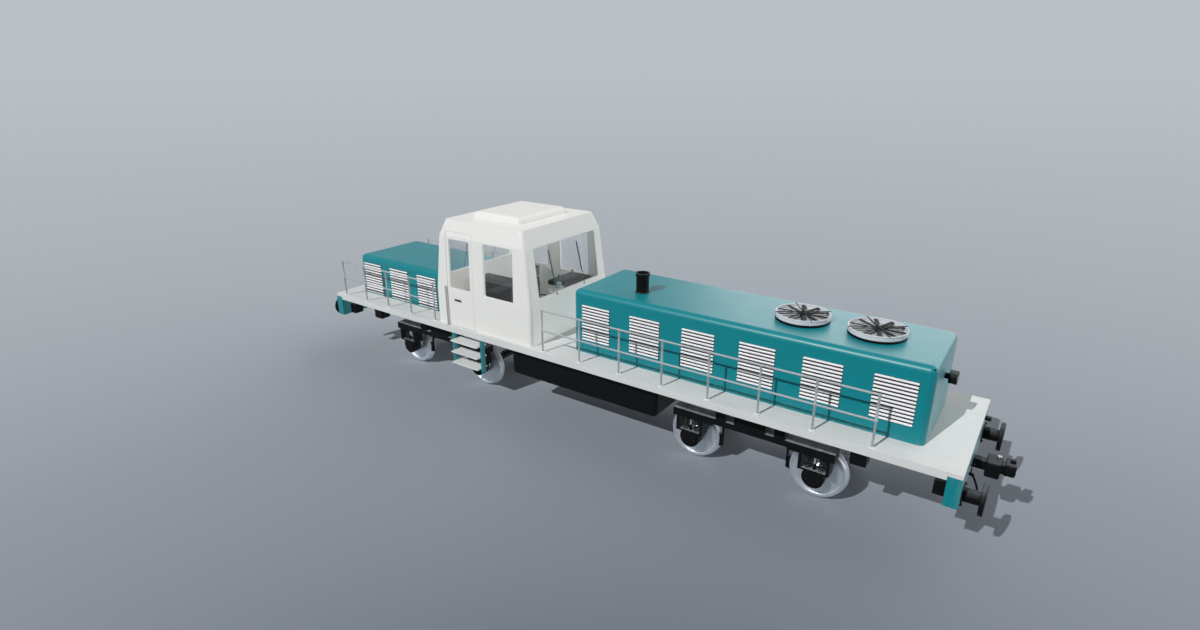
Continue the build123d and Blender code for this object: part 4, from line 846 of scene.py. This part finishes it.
# %% Desk and cabinets
desk_top = 2.668
furniture = [  # from X, to X, from Y, to Y, from Z, to Z
    (-1.780, -1.040, 0.290, 1.230, desk_top - 0.105, desk_top),
    (-1.330, -0.960, 0.420, 1.210, deck_level, desk_top - 0.080),
    (-3.420, -2.080, -0.400, -0.060, deck_level, desk_top),
    (-2.430, -2.080, -1.180, -0.370, deck_level, desk_top),
]
blocks = [rounded_box(((x0 + x1) / 2, (y0 + y1) / 2, (z0 + z1) / 2), (x1 - x0, y1 - y0, z1 - z0), 0.018)
          for x0, x1, y0, y1, z0, z1 in furniture]
piece("desk_and_cabinets", blocks, "locomotive", desk_abs, ["control_desk"])
case = eased([(0, 0), (0, 0.058), (0.016, 0.060), (0.022, 0.054), (0.016, 0.048), (0.016, 0)], 0.003)
dials = [lathe(case, (-1.12, y, desk_top - 0.002), (-0.17, 0, 0.985), 40) for y in (0.60, 0.74, 0.88)]
knob = eased([(0, 0), (0, 0.012), (0.010, 0.022), (0.030, 0.026), (0.048, 0.020), (0.054, 0.008), (0.054, 0)], 0.004)
levers, knobs = [], []
for x, y in ((-1.55, 0.50), (-1.55, 1.05)):
    t = np.linspace(0, 1, 12)[:, None]
    line = np.array([x, y, desk_top - 0.005]) + t * np.array([0, 0, 0.085]) + t ** 2 * np.array([-0.04, 0, 0])
    levers.append(tube(line, 0.008, 10))
    knobs.append(lathe(knob, line[-1] - [0, 0, 0.010], (-0.2, 0, 1), 24))
piece("desk_dials", dials, "locomotive", desk_abs)
piece("desk_levers", levers, "locomotive", worn_steel)
piece("lever_knobs", knobs, "locomotive", black_rubber)
print(len(furniture), "blocks,", len(dials), "dials,", len(levers), "levers")

# %% [markdown]
# ## Dressing the CAD plates
# A CAD plate has knife edges, which no sheared or welded plate has: a real edge is broken by a file or
# a paint film, and that thin round is what catches the light. A Weld modifier joins the loose triangles,
# then a Bevel modifier rolls each edge sharper than 35 degrees. The width is the real edge break in mm.

# %% Materials and edges of the CAD nodes
finish_of = [  # start of the node's name, material, edge in mm
    ("deck", deck_paint, 6), ("underframe", bogie_paint, 5), ("outriggers", bogie_paint, 3),
    ("cross_members", chassis_paint, 4), ("air_reservoir", chassis_paint, 3), ("headstocks", teal_enamel, 5),
    ("buffer", chassis_paint, 3), ("hood_", teal_enamel, 0), ("cab_shell", white_enamel, 8),
    ("cab_glass", cab_glass, 0), ("cab_roof_unit", white_enamel, 3), ("brake_stand", rail_paint, 8),
    ("door_glass", cab_glass, 0), ("door_handle", cast_black, 3), ("door_", white_enamel, 2),
    ("handrail_", rail_paint, 0), ("step_stiles", teal_enamel, 3), ("step_treads", deck_paint, 3),
    ("fuel_tank", chassis_paint, 4), ("sand_boxes", chassis_paint, 5), ("fan_bases", chassis_paint, 2),
    ("fan_guards", fan_black, 2), ("headlamps", chassis_paint, 4), ("engine_block", engine_paint, 10),
    ("bogie_frame", bogie_paint, 6), ("axleboxes", bogie_paint, 4), ("brake_gear", cast_black, 4),
    ("axle_", chassis_paint, 0), ("hose_coupling", cast_black, 3), ("beam_fittings", cast_black, 3),
    ("wipers", engine_paint, 1),
]


def finish_for(name):
    """Material and edge of the row whose start fits the most of the name."""
    return max((row for row in finish_of if name.startswith(row[0])), key=lambda row: len(row[0]))[1:]


for name, node in nodes.items():
    if node.hide_render:
        continue
    material, edge_mm = finish_for(name)
    for material_slot in node.material_slots:
        material_slot.material = material
    weld = node.modifiers.new("weld", "WELD")
    weld.merge_threshold = 0.0002
    if edge_mm:
        bevel = node.modifiers.new("edge", "BEVEL")
        bevel.width = edge_mm / 1000
        bevel.segments = 2
        bevel.limit_method = "ANGLE"
        bevel.angle_limit = math.radians(35)
        bevel.use_clamp_overlap = True
hose.data.materials.append(black_rubber)
print(len(nodes), "CAD nodes dressed")

# %% [markdown]
# ## Feet of the handrail posts
# Each post is bolted down through a turned foot in pale paint. A foot is one profile about the post's
# line, and the posts stand at even steps along the deck's edge.

# %% Post feet
solid_foot_radius = 0.044
post_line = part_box("handrail_posts")[1][1] - solid_foot_radius
post_rows = [(-0.490, 0.989, 8), (-7.404, 0.879, 5)]  # first X, step, how many
stations = [first + step * k for first, step, count in post_rows for k in range(count)]
foot = eased([(0.001, 0), (0.001, 0.058), (0.016, 0.058), (0.022, 0.024), (0.022, 0)], 0.004)
feet = [lathe(foot, (x, side * post_line, deck_level), (0, 0, 1), 32) for x in stations for side in (-1, 1)]
piece("post_feet", feet, "locomotive", louvre_enamel)
print(len(feet), "feet on a line", round(float(post_line), 3), "m from the middle")

# %% [markdown]
# ## Floor and light
# A studio floor under haze gets paler with distance until it meets the wall. Seen from a standing
# point, the eye reads that as slope: tone falls in step with one over the distance. That haze is painted
# into the floor's colour, a blend driven by 1 / distance from the point that the viewer stands over, and the
# wall is a little paler than the far floor. The key lamp stands high on the near side and throws the shadow.
# A wide panel, low beyond the front end, lights the ends and lays a sheen on the tops. It throws no shadow
# of its own. A small dome light, itself unseen, burns in the cab, so that its inside is not lost behind the glass.

# %% Floor
floor_mesh = bpy.data.meshes.new("floor")
reach = 4000.0
floor_mesh.from_pydata([(-reach, -reach, 0), (reach, -reach, 0), (reach, reach, 0), (-reach, reach, 0)], [],
                       [(0, 1, 2, 3)])
floor = add_object("floor", floor_mesh)
floor.location.z = -0.001
floor_paint, floor_shader = new_material("studio_floor")
far_tone, middle_tone, near_tone = (linear(tone) for tone in ("#B2B8BC", "#8D939B", "#6F767E"))
middle_nearness, full_nearness, nearest = 0.0685, 0.137, 5.0  # per metre, per metre, metres
offset = add_node(floor_paint, "VectorMath", {"operation": "SUBTRACT"}, _0=place_on(floor_paint), _1=(*view_foot, 0))
distance = add_node(floor_paint, "VectorMath", {"operation": "LENGTH"}, _0=offset.outputs[0]).outputs["Value"]
nearness = maths(floor_paint, "DIVIDE", 1.0, maths(floor_paint, "MAXIMUM", distance, nearest))
# Painted haze: darker near the viewer's foot, paler far off.
tone = mix(floor_paint, ramp(floor_paint, nearness, 0.0, 1.0, 0.0, middle_nearness), far_tone, middle_tone)
tone = mix(floor_paint, ramp(floor_paint, nearness, 0.0, 1.0, middle_nearness, full_nearness), tone, near_tone)
feed(floor_paint, floor_shader, Base_Color=tone, Roughness=1.0, Specular_IOR_Level=0.0)
floor.data.materials.append(floor_paint)

# %% Lamps
def sun_lamp(name, energy, angle, towards):
    """A far lamp: energy in W/m2 across the light, angle = degrees it looks wide, towards = where it shines."""
    data = bpy.data.lights.new(name, "SUN")
    data.energy, data.angle = energy, math.radians(angle)
    lamp = add_object(name, data)
    lamp.rotation_euler = Vector(towards).to_track_quat("-Z", "Y").to_euler()
    return data


sun_lamp("key_lamp", 3.05, 0.6, (0.28, 1.17, -1.0))
panel_azimuth, panel_height = math.radians(59), math.radians(8)
panel = sun_lamp("fill_panel", 3.3, 112, (-math.cos(panel_azimuth) * math.cos(panel_height),
                                          -math.sin(panel_azimuth) * math.cos(panel_height),
                                          -math.sin(panel_height)))
panel.use_shadow = False
dome_light = bpy.data.lights.new("cab_dome_light", "POINT")
dome_light.energy, dome_light.shadow_soft_size = 10.0, 0.25
dome = add_object("cab_dome_light", dome_light)
dome.location = (-2.3, 0.2, 3.75)
dome.visible_camera = dome.visible_glossy = dome.visible_transmission = False
world = bpy.data.worlds.new("studio")
bpy.context.scene.world = world
world.use_nodes = True
glossy_share = 0.55  # how much of the wall's tone a glossy surface mirrors
fill_light = world.node_tree.nodes["Background"]
feed(world, fill_light, Color=linear("#C0C2C6"), Strength=0.29)
wall = add_node(world, "Background", Color=linear("#BBC0C6"))
ray = add_node(world, "LightPath").outputs
seen = maths(world, "MAXIMUM", ray["Is Camera Ray"], ray["Is Transmission Ray"])
haze = add_node(world, "Math", {"operation": "MULTIPLY_ADD"}, _0=ray["Is Glossy Ray"], _1=glossy_share, _2=seen)
both = add_node(world, "MixShader", _0=haze.outputs[0], _1=fill_light.outputs[0], _2=wall.outputs[0])
feed(world, world.node_tree.nodes["World Output"], Surface=both.outputs[0])
bpy.context.scene.view_settings.view_transform = "Standard"
